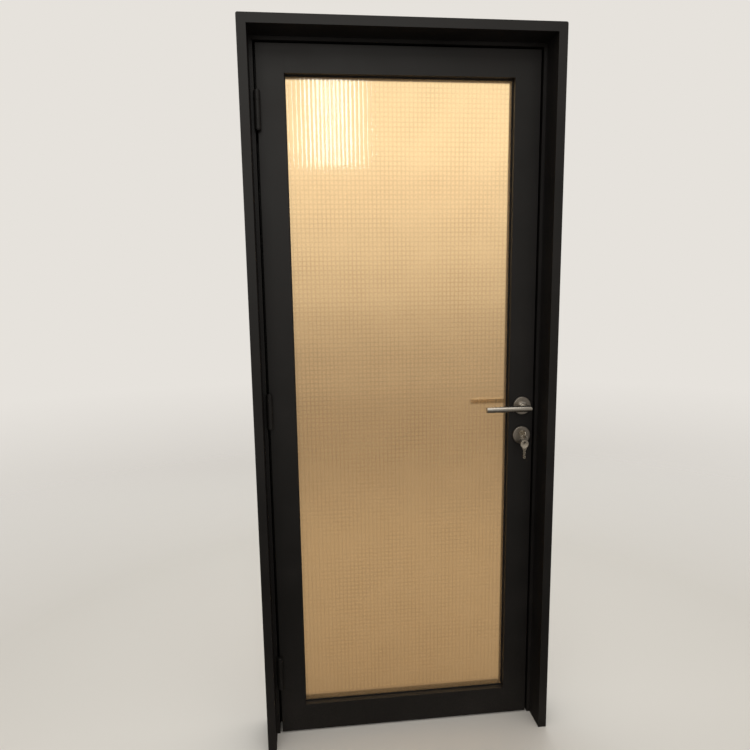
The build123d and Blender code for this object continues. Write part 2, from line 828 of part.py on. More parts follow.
def case_top():
    """Upper edge of the lock case."""
    return lever_height + case_height_above_lever


def case_bottom():
    """Lower edge of the lock case."""
    return plug_z - case_height_below_plug


def profile_bar(y0, y1, clearance=0.0):
    """The outline of a profile cylinder, as a bar from y0 to y1."""
    round_radius = cylinder_round_radius + clearance
    half_slot = cylinder_slot_width / 2 + clearance
    foot_z = plug_z - cylinder_drop + cylinder_slot_width / 2
    bar = rod((lever_x, y0, plug_z), BACK, round_radius, y1 - y0)
    bar += block(lever_x - half_slot, lever_x + half_slot, y0, y1, foot_z, plug_z)
    return bar + rod((lever_x, y0, foot_z), BACK, half_slot, y1 - y0)


def latch_middle():
    """Height of the latch bolt's middle."""
    return lever_height + latch_rise


def deadbolt_middle():
    """Height of the deadbolt's middle."""
    return plug_z + deadbolt_rise


def lock_case():
    """Sheet case in the lock stile, open towards the faceplate."""
    y0, y1 = leaf_middle_y - case_thickness / 2, leaf_middle_y + case_thickness / 2
    case = block(leaf_side - case_depth, leaf_side, y0, y1, case_bottom(), case_top())
    case -= block(leaf_side - case_depth + case_wall, leaf_side + 1, y0 + case_wall, y1 - case_wall,
                  case_bottom() + case_wall, case_top() - case_wall)
    case -= rod((lever_x, y0 - 1, lever_height), BACK, follower_radius + running_fit, case_thickness + 2)
    case -= profile_bar(y0 - 1, y1 + 1, loose_fit)
    return case


def faceplate_screw_places():
    """Start points of the faceplate's screws, past each end of the case."""
    past = faceplate_end - faceplate_screw_inset
    x = leaf_side + faceplate_gauge
    return [(x, leaf_middle_y, case_bottom() - past), (x, leaf_middle_y, case_top() + past)]


def lock_faceplate():
    """Plate on the edge of the lock stile, with the mouths of both bolts and the cylinder screw's hole."""
    plate = block(leaf_side, leaf_side + faceplate_gauge, leaf_middle_y - faceplate_width / 2,
                  leaf_middle_y + faceplate_width / 2, case_bottom() - faceplate_end, case_top() + faceplate_end)
    plate = fillet(plate.edges().filter_by(Axis.X), plate_corner_radius)
    half_bolt = bolt_thickness / 2 + bolt_clearance
    for z, height in ((latch_middle(), latch_height), (deadbolt_middle(), deadbolt_height)):
        reach = height / 2 + bolt_clearance
        plate -= block(leaf_side - 1, leaf_side + faceplate_gauge + 1, leaf_middle_y - half_bolt,
                       leaf_middle_y + half_bolt, z - reach, z + reach)
    plate -= rod((leaf_side - 1, leaf_middle_y, plug_z - cylinder_screw_drop), RIGHT,
                 cylinder_screw_radius + loose_fit, faceplate_gauge + 2)
    return plate - plate_screws(faceplate_screw_places(), LEFT)


def latch_bolt():
    """Bevelled latch with a tail over the follower and a hook behind the follower's arm."""
    outer = leaf_side + faceplate_gauge + latch_throw
    inner = outer - latch_length
    y0, y1 = leaf_middle_y - bolt_thickness / 2, leaf_middle_y + bolt_thickness / 2
    z = latch_middle()
    plane = Plane(origin=(0, 0, z - latch_height / 2))
    nose = [(outer, y0), (outer, y0 + latch_flat), (outer - latch_bevel, y1)]
    head = extrude(plane * outline([(inner, y0), *nose, (inner, y1)]), amount=latch_height)
    arm_x = lever_x + arm_length * sin(radians(arm_lean))
    hook_x1 = arm_x - arm_radius - arm_gap
    hook_x0 = hook_x1 - hook_gauge
    tail_z0 = lever_height + arm_length + arm_radius + loose_fit
    half = tail_gauge / 2
    tail = block(hook_x0, inner, leaf_middle_y - half, leaf_middle_y + half, tail_z0, tail_z0 + tail_height)
    hook = block(hook_x0, hook_x1, leaf_middle_y - half, leaf_middle_y + half,
                 lever_height + arm_length * cos(radians(arm_lean)), tail_z0)
    return head + tail + hook


def deadbolt():
    """Square bolt between the latch and the cylinder, shown drawn back."""
    outer = leaf_side + faceplate_gauge
    z = deadbolt_middle()
    half = bolt_thickness / 2
    bolt = block(outer - deadbolt_length, outer, leaf_middle_y - half, leaf_middle_y + half,
                 z - deadbolt_height / 2, z + deadbolt_height / 2)
    return chamfer(bolt.faces().sort_by(Axis.X)[-1].edges(), bolt_chamfer)


def follower():
    """Hub that the spindle turns, with the arm that draws the latch."""
    y0 = leaf_middle_y - case_thickness / 2
    hub = rod((lever_x, y0, lever_height), BACK, follower_radius, case_thickness)
    arm_y = leaf_middle_y - arm_gauge / 2
    upright = Pos(lever_x, arm_y, lever_height) * Rot(0, arm_lean, 0)
    hub += upright * block(-arm_radius * 0.7, arm_radius * 0.7, 0, arm_gauge, 0, arm_length)
    hub += upright * rod((0, 0, arm_length), BACK, arm_radius, arm_gauge)
    half = (spindle_side + spindle_fit) / 2
    return hub - block(lever_x - half, lever_x + half, y0 - 1, y0 + case_thickness + 1, lever_height - half,
                       lever_height + half)


# Handle


def rose_cover(z, direction, opening):
    """Round cap with a rounded rim; opening is cut through its face."""
    face_y = leaf_front if direction.Y < 0 else leaf_back
    shell = rod((lever_x, face_y, z), direction, rose_radius, rose_depth)
    outer = shell.faces().sort_by(Axis.Y)[0 if direction.Y < 0 else -1].edges()
    shell = fillet(outer, rose_edge)
    inside = rod((lever_x, face_y - direction.Y, z), direction, rose_radius - rose_wall, rose_depth - rose_wall + 1)
    return shell - inside - opening


def rose_base(z, direction, opening):
    """Base plate under a rose cover, screwed to the stile."""
    face_y = leaf_front if direction.Y < 0 else leaf_back
    depth = rose_depth - rose_wall - rose_base_fit
    base = rod((lever_x, face_y, z), direction, rose_radius - rose_wall - rose_base_fit, depth)
    base -= opening
    top_y = face_y + direction.Y * depth
    for p, d in rose_screw_places():
        if abs(p[1] - top_y) < leaf_thickness / 2 and abs(p[2] - z) < rose_radius:
            base -= rod((p[0], top_y, p[2]), d, rose_screw_head_radius + 0.2, depth - rose_floor())
            base -= rod((p[0], top_y, p[2]), d, rose_screw_radius, depth + 1)
    return base


def rose_floor():
    """Thickness left under the head of each rose screw."""
    return (rose_depth - rose_wall) / 2


def rose_screw_places():
    """Start points and directions of the rose screws: the shank starts on each base's sunk floor."""
    places = []
    for z in (lever_height, lower_rose_z):
        for face_y, direction in ((leaf_front - rose_floor(), BACK), (leaf_back + rose_floor(), FRONT)):
            for side in (-1, 1):
                offset = side * rose_screw_circle / sqrt(2)
                places.append(((lever_x + offset, face_y, z + offset), direction))
    return places


def rose_screws():
    """All the screws of the rose bases."""
    screws = []
    for p, d in rose_screw_places():
        start = (p[0], p[1] - d.Y * rose_screw_head, p[2])
        screws.append(screw(start, d, rose_screw_radius, rose_screw_length, rose_screw_head_radius, rose_screw_head))
    return Compound(screws)


def lever(direction):
    """Lever on one side: neck, mitred corner and straight bar, with a square socket for the spindle."""
    front = direction.Y < 0
    face_y = leaf_front if front else leaf_back
    bar_y = lever_front_y if front else lever_back_y
    start_y = face_y + direction.Y * lever_end_gap
    bar_end = lever_x + lever_radius - lever_length
    route = Polyline((lever_x, start_y, lever_height), (lever_x, bar_y, lever_height), (bar_end, bar_y, lever_height))
    section = Plane(origin=(lever_x, start_y, lever_height), z_dir=direction) * Circle(lever_radius)
    handle = sweep(section, path=route, transition=Transition.RIGHT)
    end = handle.faces().sort_by(Axis.X)[0]
    handle = chamfer(end.edges(), lever_end_chamfer)
    collar_y = face_y + direction.Y * rose_depth
    handle += rod((lever_x, collar_y + direction.Y * loose_fit, lever_height), direction, collar_radius, collar_depth)
    side = (spindle_side + spindle_fit) / 2
    socket_y = start_y + direction.Y * spindle_depth
    handle -= block(lever_x - side, lever_x + side, min(start_y, socket_y) - 1 * front, max(start_y, socket_y),
                    lever_height - side, lever_height + side)
    return handle - grub_screw(direction)


def grub_screw(direction):
    """Set screw under the neck that holds the lever on the spindle."""
    face_y = leaf_front if direction.Y < 0 else leaf_back
    y = face_y + direction.Y * (rose_depth + collar_depth + grub_screw_place)
    return rod((lever_x, y, lever_height - lever_radius), UP, grub_screw_radius,
               lever_radius - spindle_side / 2)


def spindle():
    """Square bar through the follower into both levers."""
    half = spindle_side / 2
    reach = spindle_depth - 1
    return block(lever_x - half, lever_x + half, leaf_front - reach, leaf_back + reach, lever_height - half,
                 lever_height + half)


# Cylinder, key and ring


def cylinder_body():
    """Profile cylinder body with both plug bores and the cam's space in the middle."""
    body = profile_bar(cylinder_front, cylinder_back)
    length = cylinder_back - cylinder_front
    body -= rod((lever_x, cylinder_front - 1, plug_z), BACK, plug_radius, length + 2)
    y0, y1 = leaf_middle_y - cam_space / 2, leaf_middle_y + cam_space / 2
    body -= block(lever_x - cylinder_round_radius - 1, lever_x + cylinder_round_radius + 1, y0, y1,
                  plug_z - cam_floor, plug_z + cylinder_round_radius + 1)
    return body - cylinder_screw_rod(cylinder_screw_radius)


def cylinder_screw_rod(radius):
    """The straight shank of the cylinder screw, or the hole that it needs."""
    start = leaf_side + faceplate_gauge - 1
    return rod((start, leaf_middle_y, plug_z - cylinder_screw_drop), LEFT, radius, start - lever_x)


def plug(y0, y1):
    """A plug in the cylinder, with its keyway."""
    body = rod((lever_x, y0, plug_z), BACK, plug_radius - running_fit, y1 - y0)
    return body - block(lever_x - keyway_width / 2, lever_x + keyway_width / 2, y0 - 1, y1 + 1,
                        plug_z - keyway_height / 2, plug_z + keyway_height / 2)


def cam():
    """Cam between the plugs, with its lobe down as it is when the key can be drawn."""
    y0 = leaf_middle_y - cam_width / 2
    body = rod((lever_x, y0, plug_z), BACK, cam_radius, cam_width)
    body += block(lever_x - lobe_width / 2, lever_x + lobe_width / 2, y0, y0 + cam_width, plug_z - lobe_reach, plug_z)
    return body & rod((lever_x, y0, plug_z), BACK, lobe_reach, cam_width)


def key(hole, along, across):
    """A key with its bow hole at a point; it runs along one direction and is as high as another."""
    thickness_dir = along.cross(across)
    plane = Plane(origin=hole, x_dir=along, z_dir=thickness_dir)
    bow_x = key_hole_offset
    shoulder = bow_x + key_bow_radius + key_neck_length
    neck_half = key_blade_height * 0.75
    half = key_blade_height / 2
    tip = shoulder + key_blade_length
    slope = key_tip_slope
    pitch = (key_blade_length - 2 * key_tip_room) / key_cut_count
    points = [(bow_x, -neck_half), (shoulder, -neck_half), (shoulder, -half), (tip - slope, -half), (tip, slope - half)]
    points += [(tip, half - slope), (tip - slope / 2, half - slope / 2)]
    for i in range(key_cut_count):
        depth = key_cut_shallow + key_cut_step * ((i * 2) % 3)
        x = tip - key_tip_room - i * pitch
        points += [(x, half - key_cut_shallow / 3), (x - pitch * 0.4, half - depth), (x - pitch * 0.6, half - depth)]
    points += [(shoulder + key_tip_room, half), (shoulder, half), (shoulder, neck_half), (bow_x, neck_half)]
    body = extrude(plane * outline(points), amount=key_gauge / 2, both=True)
    bow_plane = plane.offset(-key_gauge / 2)
    body += extrude(bow_plane * (Pos(bow_x, 0) * Circle(key_bow_radius)), amount=key_gauge)
    return body - extrude(bow_plane * Circle(key_hole_radius), amount=key_gauge)


def key_ring():
    """Wire ring that hangs in the key's bow, turned halfway between the two keys."""
    plane = Plane(origin=(lever_x, key_hole_y, ring_z), z_dir=(1 / sqrt(2), 1 / sqrt(2), 0))
    return plane * Torus(ring_radius, ring_wire_radius)


def build():
    """Every part of the door, by the name of its node."""
    parts = {}
    parts.update(trims())
    parts.update(jambs())
    parts["trim_screws"] = Compound([
        screw((p[0], p[1] - trim_screw_head, p[2]), BACK, trim_screw_radius, trim_screw_length,
              trim_screw_head_radius, trim_screw_head) for p in trim_screw_places()
    ])
    parts["frame_corner_blocks"] = frame_corner_blocks()
    parts["frame_corner_screws"] = Compound(frame_joint_screws())
    parts.update(frame_seals())
    parts["head_seal"] = parts["head_seal"] - parts["hinge_jamb"] - parts["lock_jamb"]
    parts["strike_plate"] = strike_plate()
    parts["strike_screws"] = Compound(plate_screws(strike_screw_places(), RIGHT))
    parts["hinge_frame_wings"] = Compound([hinge_frame_wing(z) for z in hinge_heights()])
    parts["hinge_leaf_wings"] = Compound([hinge_leaf_wing(z) for z in hinge_heights()])
    parts["hinge_pins"] = Compound([hinge_pin(z) for z in hinge_heights()])
    parts["hinge_screws_frame"] = Compound(wing_screws(-jamb_side + wing_gauge, LEFT))
    parts["hinge_screws_leaf"] = Compound(wing_screws(-leaf_side - wing_gauge, RIGHT))
    parts.update(stiles_and_rails())
    parts["leaf_corner_blocks"] = leaf_corner_blocks()
    parts["leaf_corner_screws"] = Compound(leaf_joint_screws())
    parts["glass_pane"] = glass_pane()
    parts.update(glazing_beads())
    front_ring = mitred_ring(lambda face: gasket_profile(face, return_depth, 1))
    parts["front_gasket"] = front_ring - parts["hinge_stile"] - parts["lock_stile"]
    back_ring = mitred_ring(lambda face: gasket_profile(face, bead_front, -1))
    parts["back_gasket"] = back_ring - parts["top_bead"] - parts["bottom_bead"]
    parts["setting_blocks"] = setting_blocks()
    parts["bottom_brush_seal"] = brush_seal()
    parts["lock_case"] = lock_case()
    parts["lock_faceplate"] = lock_faceplate()
    parts["faceplate_screws"] = Compound(plate_screws(faceplate_screw_places(), LEFT))
    parts["latch_bolt"] = latch_bolt()
    parts["deadbolt"] = deadbolt()
    parts["follower"] = follower()
    neck_hole = rod((lever_x, 0, lever_height), BACK, lever_radius + loose_fit, overall_depth)
    neck_bearing = rod((lever_x, 0, lever_height), BACK, lever_radius + running_fit, overall_depth)
    profile_hole = profile_bar(0, overall_depth, loose_fit)
    for side, direction in (("front", FRONT), ("back", BACK)):
        parts[f"lever_{side}"] = lever(direction)
        parts[f"lever_rose_{side}"] = rose_cover(lever_height, direction, neck_hole)
        parts[f"cylinder_rose_{side}"] = rose_cover(lower_rose_z, direction, profile_hole)
    parts["rose_bases"] = Compound([
        rose_base(z, direction, opening)
        for z, opening in ((lever_height, neck_bearing), (lower_rose_z, profile_hole))
        for direction in (FRONT, BACK)
    ])
    parts["rose_screws"] = rose_screws()
    parts["lever_grub_screws"] = Compound([grub_screw(FRONT), grub_screw(BACK)])
    parts["spindle"] = spindle()
    parts["cylinder_body"] = cylinder_body()
    parts["cylinder_screw"] = cylinder_screw_rod(cylinder_screw_radius - 0.02)
    plug_gap = leaf_middle_y - cam_space / 2
    parts["front_plug"] = plug(cylinder_front, plug_gap)
    parts["back_plug"] = plug(leaf_middle_y + cam_space / 2, cylinder_back)
    parts["cam"] = cam()
    parts["key_in_lock"] = key((lever_x, key_hole_y, plug_z), BACK, UP)
    parts["key_ring"] = key_ring()
    parts["spare_key"] = key((lever_x, key_hole_y, spare_hole_z), DOWN, RIGHT)
    return parts


def main():
    """Writes each part to its own STEP file, moved so that the origin is at the middle of the base."""
    os.makedirs("parts", exist_ok=True)
    parts = build()
    to_origin = Pos(0, -overall_depth / 2, 0)
    for name, part in parts.items():
        export_step(to_origin * part, f"parts/{name}.step")
    print(len(parts), "parts written")


main()
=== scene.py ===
"""Looks of a black aluminium door with a crossed-reed glass pane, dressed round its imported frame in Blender."""

import logging
import math
from collections.abc import Callable
from dataclasses import dataclass, field
from enum import Enum

import bpy
from mathutils import Matrix, Vector


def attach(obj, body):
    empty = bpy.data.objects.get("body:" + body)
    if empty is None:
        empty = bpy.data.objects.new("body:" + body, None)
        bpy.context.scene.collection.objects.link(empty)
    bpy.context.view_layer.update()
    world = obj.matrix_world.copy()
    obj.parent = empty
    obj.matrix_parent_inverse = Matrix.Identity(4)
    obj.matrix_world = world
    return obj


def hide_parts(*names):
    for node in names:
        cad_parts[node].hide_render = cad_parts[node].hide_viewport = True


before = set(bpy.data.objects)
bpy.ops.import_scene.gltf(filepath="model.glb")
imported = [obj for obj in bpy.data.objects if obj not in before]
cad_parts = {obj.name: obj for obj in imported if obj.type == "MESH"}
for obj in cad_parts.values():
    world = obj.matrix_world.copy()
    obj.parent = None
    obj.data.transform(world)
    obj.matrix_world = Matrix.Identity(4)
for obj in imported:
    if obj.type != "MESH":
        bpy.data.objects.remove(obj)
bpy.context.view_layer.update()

log = logging.getLogger("door")
logging.basicConfig(level=logging.INFO, format="%(message)s")

MM = 0.001

Tree, Socket, Node, Object = bpy.types.NodeTree, bpy.types.NodeSocket, bpy.types.Node, bpy.types.Object
Pair, Point, Quad = tuple[float, float], tuple[float, float, float], tuple[float, float, float, float]


# Small helpers


def linear(code: str) -> Quad:
    """Turns an sRGB hex colour into linear RGBA.

    Args:
        code: six hex digits with a leading hash.

    Returns:
        Linear red, green and blue, and an alpha of 1.
    """
    channels = [int(code[i:i + 2], 16) / 255 for i in (1, 3, 5)]
    lin = [c / 12.92 if c <= 0.04045 else ((c + 0.055) / 1.055) ** 2.4 for c in channels]
    return (*lin, 1.0)


def clear_tree(owner: bpy.types.Material | bpy.types.World) -> Tree:
    """Empties a node tree.

    Args:
        owner: the material or the world that has it.

    Returns:
        The empty tree.
    """
    owner.use_nodes = True
    owner.node_tree.nodes.clear()
    return owner.node_tree


def add(tree: Tree, kind: str, inputs: dict | None = None, **settings) -> Node:
    """Adds one shader node with its inputs and its settings.

    Args:
        tree: the node tree that gets the node.
        kind: the node's type name after its leading ShaderNode.
        inputs: input name or index to its value, or to the output socket that feeds it.
        **settings: attributes of the node itself.

    Returns:
        The new node.
    """
    node = tree.nodes.new(f"ShaderNode{kind}")
    for key, value in settings.items():
        setattr(node, key, value)
    for key, value in (inputs or {}).items():
        if isinstance(value, Socket):
            tree.links.new(value, node.inputs[key])
        else:
            node.inputs[key].default_value = value
    return node


def ramp(factor: Socket, stops: list[tuple[float, str]]) -> Socket:
    """A colour ramp over a factor.

    Args:
        factor: the socket that drives the ramp.
        stops: position and hex colour of each stop.

    Returns:
        The ramp's colour socket.
    """
    node = add(factor.id_data, "ValToRGB", {"Fac": factor})
    for element, (position, code) in zip(node.color_ramp.elements, (stops[0], stops[-1])):
        element.position, element.color = position, linear(code)
    for position, code in stops[1:-1]:
        node.color_ramp.elements.new(position).color = linear(code)
    return node.outputs["Color"]


def spread(factor: Socket, low: float, high: float, start: float = 0.0, stop: float = 1.0) -> Socket:
    """Maps a factor from start..stop to low..high, clamped.

    Args:
        factor: the socket to map.
        low: result at start.
        high: result at stop.
        start: factor that gives low.
        stop: factor that gives high.

    Returns:
        The mapped value's socket.
    """
    return add(factor.id_data, "MapRange", {"Value": factor, "From Min": start, "From Max": stop, "To Min": low,
                                           "To Max": high}).outputs["Result"]


def noise(place: Socket, scale: float, detail: float, **inputs: float) -> Socket:
    """A noise pattern over coordinates.

    Args:
        place: the coordinates.
        scale: cells for each unit of the coordinates.
        detail: finer octaves on top.
        **inputs: further inputs of the pattern, by name.

    Returns:
        The pattern's socket, 0 to 1.
    """
    inputs |= {"Vector": place, "Scale": scale, "Detail": detail}
    return add(place.id_data, "TexNoise", inputs).outputs["Fac"]


# Finishes


@dataclass(frozen=True)
class Finish:
    """A finish with the parts that all of them share: object coordinates, edges and the output.

    Attributes:
        name: the material's name.
        edge: radius of the softened edges in mm; 0 leaves them as modelled.
    """

    name: str
    edge: float = 0.0

    def material(self) -> bpy.types.Material:
        """Builds the material on the first call.

        Returns:
            The material, the same one on later calls.
        """
        found = bpy.data.materials.get(self.name)
        if found:
            return found
        material = bpy.data.materials.new(self.name)
        tree = clear_tree(material)
        place = add(tree, "TexCoord").outputs["Object"]
        shader = add(tree, "BsdfPrincipled")
        if self.edge:
            soft = add(tree, "Bevel", {"Radius": self.edge * MM}, samples=4)
            tree.links.new(soft.outputs["Normal"], shader.inputs["Normal"])
        self.dress(tree, place, shader)
        add(tree, "OutputMaterial", {"Surface": shader.outputs["BSDF"]})
        return material

    def dress(self, tree: Tree, place: Socket, shader: Node) -> None:
        """Sets the shader's colour, gloss and relief; each finish has its own.

        Args:
            tree: the material's node tree.
            place: object coordinates in metres.
            shader: the Principled shader.
        """
        raise NotImplementedError

    @staticmethod
    def feed(shader: Node, colour: Socket, rough: Socket, metal: float = 0.0) -> None:
        """Sets what the shader is made of.

        Args:
            shader: the Principled shader.
            colour: its colour.
            rough: its roughness.
            metal: 1 for metal.
        """
        shader.id_data.links.new(colour, shader.inputs["Base Color"])
        shader.id_data.links.new(rough, shader.inputs["Roughness"])
        shader.inputs["Metallic"].default_value = metal

    @staticmethod
    def relief(shader: Node, height: Socket, depth_mm: float, strength: float = 1.0) -> None:
        """Adds a bump on top of the softened edges.

        Args:
            shader: the Principled shader.
            height: the height pattern, 0 to 1.
            depth_mm: real height of the pattern.
            strength: share of the bump that is used.
        """
        tree = shader.id_data
        bump = add(tree, "Bump", {"Height": height, "Strength": strength, "Distance": depth_mm * MM})
        joined = shader.inputs["Normal"].links
        if joined:
            tree.links.new(joined[0].from_socket, bump.inputs["Normal"])
        tree.links.new(bump.outputs["Normal"], shader.inputs["Normal"])


@dataclass(frozen=True)
class PowderCoat(Finish):
    """Polyester powder baked on aluminium: a dark film with a fine orange peel that blurs every reflection.

    Attributes:
        colour: the film's colour.
        thick: its colour where the film is thicker.
        thin: its colour where the film is thinner.
        worn: colour where the film is thin on the edges.
        dust: colour of the dust.
        dust_top: height in metres that the dust reaches.
        rough: mean roughness.
        peel_mm: width of one dimple of the orange peel.
    """

    name: str = "powder_coated_aluminium_black"
    edge: float = 0.5
    colour: str = "#161413"
    thick: str = "#131110"
    thin: str = "#1b1817"
    worn: str = "#33302e"
    dust: str = "#4c4640"
    dust_top: float = 0.35
    rough: float = 0.46
    peel_mm: float = 1.6

    def dress(self, tree: Tree, place: Socket, shader: Node) -> None:
        """Film with faint cloudiness, thin edges, a little dust near the floor and the orange peel."""
        cloud = noise(place, 7.0, 3.0)
        speck = noise(place, 900.0, 2.0)
        film = ramp(cloud, [(0.3, self.thick), (0.5, self.colour), (0.72, self.thin)])
        height = add(tree, "SeparateXYZ", {"Vector": place}).outputs["Z"]
        low = spread(height, 0.5, 0.0, 0.0, self.dust_top)
        dust_patch = spread(speck, 0.0, 1.0, 0.45, 0.75)
        dust = add(tree, "Math", {0: low, 1: dust_patch}, operation="MULTIPLY").outputs[0]
        dusty = add(tree, "Mix", {"Factor": dust, "A": film, "B": linear(self.dust)},
                    data_type="RGBA").outputs["Result"]
        real = add(tree, "NewGeometry").outputs["Normal"]
        soft = shader.inputs["Normal"].links[0].from_socket
        facing = add(tree, "VectorMath", {0: real, 1: soft}, operation="DOT_PRODUCT").outputs["Value"]
        edge = spread(facing, 0.5, 0.0, 0.80, 0.99)
        worn = add(tree, "Mix", {"Factor": edge, "A": dusty, "B": linear(self.worn)}, data_type="RGBA")
        rough = spread(cloud, self.rough - 0.05, self.rough + 0.06, 0.3, 0.7)
        self.feed(shader, worn.outputs["Result"], rough)
        shader.inputs["IOR"].default_value = 1.5
        shader.inputs["Specular IOR Level"].default_value = 0.3
        peel = noise(place, 1000 / self.peel_mm, 1.5, Roughness=0.4)
        self.relief(shader, peel, 0.05, 0.5)


class Brushing(Enum):
    """Direction of the brushing: lines per metre along each axis, few along the lines."""

    ALONG_X = (25.0, 900.0, 900.0)
    UPRIGHT = (900.0, 900.0, 25.0)
    TUMBLED = (500.0, 500.0, 500.0)


@dataclass(frozen=True)
class SatinStainless(Finish):
    """Stainless steel brushed with a belt: fine lines that stretch a highlight across them.

    Attributes:
        colour: the metal's colour.
        dark: its colour in the brushing lines.
        lines: direction of the brushing.
        rough: mean roughness.
        relief_share: share of the lines' relief that is used.
    """

    name: str = "satin_stainless_brushed"
    edge: float = 0.25
    colour: str = "#c3beb6"
    dark: str = "#a39e96"
    lines: Brushing = Brushing.ALONG_X
    rough: float = 0.3
    relief_share: float = 0.35

    def dress(self, tree: Tree, place: Socket, shader: Node) -> None:
        """Metal with brushing lines in its roughness and relief, and faint handling marks."""
        stretched = add(tree, "Mapping", {"Vector": place, "Scale": self.lines.value}).outputs["Vector"]
        lines = noise(stretched, 1.0, 4.0, Roughness=0.7)
        hands = noise(place, 60.0, 3.0)
        tone = ramp(lines, [(0.3, self.dark), (0.7, self.colour)])
        shine = spread(lines, self.rough - 0.07, self.rough + 0.09, 0.25, 0.75)
        smear = spread(hands, 0.0, 0.1, 0.5, 0.75)
        rough = add(tree, "Math", {0: shine, 1: smear}, operation="ADD").outputs[0]
        self.feed(shader, tone, rough, 1.0)
        self.relief(shader, lines, 0.01, self.relief_share)


@dataclass(frozen=True)
class NickelBrass(Finish):
    """Nickel plate on milled brass: a warm grey metal, brighter and smoother than stainless steel.

    Attributes:
        colour: the plate's colour.
        rubbed: colour where keys and fingers rub it.
    """

    name: str = "nickel_plated_brass"
    edge: float = 0.2
    colour: str = "#b9b0a2"
    rubbed: str = "#cfc8bb"

    def dress(self, tree: Tree, place: Socket, shader: Node) -> None:
        """Plate with fine milling lines and rubbed patches."""
        patch = noise(place, 180.0, 3.0)
        milled = add(tree, "TexWave", {"Vector": place, "Scale": 900.0, "Distortion": 1.5, "Detail": 1.0},
                     wave_type="BANDS", bands_direction="DIAGONAL").outputs["Fac"]
        tone = ramp(patch, [(0.35, self.colour), (0.7, self.rubbed)])
        self.feed(shader, tone, spread(patch, 0.2, 0.34, 0.3, 0.7), 1.0)
        self.relief(shader, milled, 0.004, 0.2)


@dataclass(frozen=True)
class ZincPlate(Finish):
    """Zinc-plated steel: bluish grey with soft crystal clouds.

    Attributes:
        colour: the plate's colour.
        gap: linear colour between the crystals.
        grain_mm: width of one crystal cloud.
    """

    name: str = "zinc_plated_steel"
    edge: float = 0.2
    colour: str = "#a9adb1"
    gap: Quad = (0.02, 0.02, 0.02, 1.0)
    grain_mm: float = 4.0

    def dress(self, tree: Tree, place: Socket, shader: Node) -> None:
        """Plate with crystal clouds in its tone and gloss."""
        cells = add(tree, "TexVoronoi", {"Vector": place, "Scale": 1000 / self.grain_mm},
                    feature="SMOOTH_F1").outputs["Distance"]
        shade = add(tree, "Mix", {"Factor": spread(cells, 0.7, 1.0), "A": self.gap, "B": linear(self.colour)},
                    data_type="RGBA")
        self.feed(shader, shade.outputs["Result"], spread(cells, 0.32, 0.48), 1.0)
        self.relief(shader, cells, 0.006, 0.2)


@dataclass(frozen=True)
class TurnedSteel(Finish):
    """Bright steel screws, turned on a lathe.

    Attributes:
        colour: the steel's colour.
        dark: its colour in the turning marks.
        rough: mean roughness.
    """

    name: str = "turned_steel_screws"
    edge: float = 0.1
    colour: str = "#8d8b88"
    dark: str = "#7b7976"
    rough: float = 0.34

    def dress(self, tree: Tree, place: Socket, shader: Node) -> None:
        """Steel with fine marks and a faint oil film."""
        marks = noise(place, 1400.0, 3.0)
        tone = ramp(marks, [(0.3, self.dark), (0.7, self.colour)])
        self.feed(shader, tone, spread(marks, self.rough - 0.08, self.rough + 0.08, 0.3, 0.7), 1.0)
        self.relief(shader, marks, 0.01, 0.3)


@dataclass(frozen=True)
class SawnAluminium(Finish):
    """Bare extruded aluminium, sawn to length: pale metal with die lines.

    Attributes:
        colour: the metal's colour.
        dark: its colour in the die lines.
        lines: die lines per metre along each axis, few along the lines.
    """

    name: str = "sawn_aluminium"
    edge: float = 0.2
    colour: str = "#c9cac9"
    dark: str = "#b4b5b4"
    lines: Point = (20.0, 700.0, 700.0)

    def dress(self, tree: Tree, place: Socket, shader: Node) -> None:
        """Metal with die lines along its length."""
        stretched = add(tree, "Mapping", {"Vector": place, "Scale": self.lines}).outputs["Vector"]
        lines = noise(stretched, 1.0, 3.0)
        tone = ramp(lines, [(0.3, self.dark), (0.7, self.colour)])
        self.feed(shader, tone, spread(lines, 0.38, 0.52, 0.3, 0.7), 1.0)
        self.relief(shader, lines, 0.02, 0.3)


@dataclass(frozen=True)
class SealRubber(Finish):
    """Extruded black rubber: matte, with a faint bloom and lines from the die.

    Attributes:
        colour: the rubber's colour.
        bloom: its colour under the bloom.
    """

    name: str = "extruded_rubber_seal"
    edge: float = 0.3
    colour: str = "#121111"
    bloom: str = "#232120"

    def dress(self, tree: Tree, place: Socket, shader: Node) -> None:
        """Rubber with bloom and a fine grain."""
        bloom = noise(place, 35.0, 3.0)
        grain = noise(place, 1500.0, 2.0)
        tone = ramp(bloom, [(0.4, self.colour), (0.8, self.bloom)])
        self.feed(shader, tone, spread(bloom, 0.55, 0.7))
        shader.inputs["Specular IOR Level"].default_value = 0.35
        self.relief(shader, grain, 0.02, 0.5)


@dataclass(frozen=True)
class MouldedNylon(Finish):
    """Black moulded or drawn nylon, as in the brush and the setting blocks.

    Attributes:
        colour: the plastic's colour.
        pale: its colour on the eroded spots.
    """

    name: str = "black_nylon"
    edge: float = 0.2
    colour: str = "#1c1b1b"
    pale: str = "#2a2828"

    def dress(self, tree: Tree, place: Socket, shader: Node) -> None:
        """Plastic with a fine eroded texture."""
        grain = noise(place, 1200.0, 2.0)
        tone = ramp(grain, [(0.35, self.colour), (0.75, self.pale)])
        self.feed(shader, tone, spread(grain, 0.45, 0.6))
        self.relief(shader, grain, 0.02, 0.4)


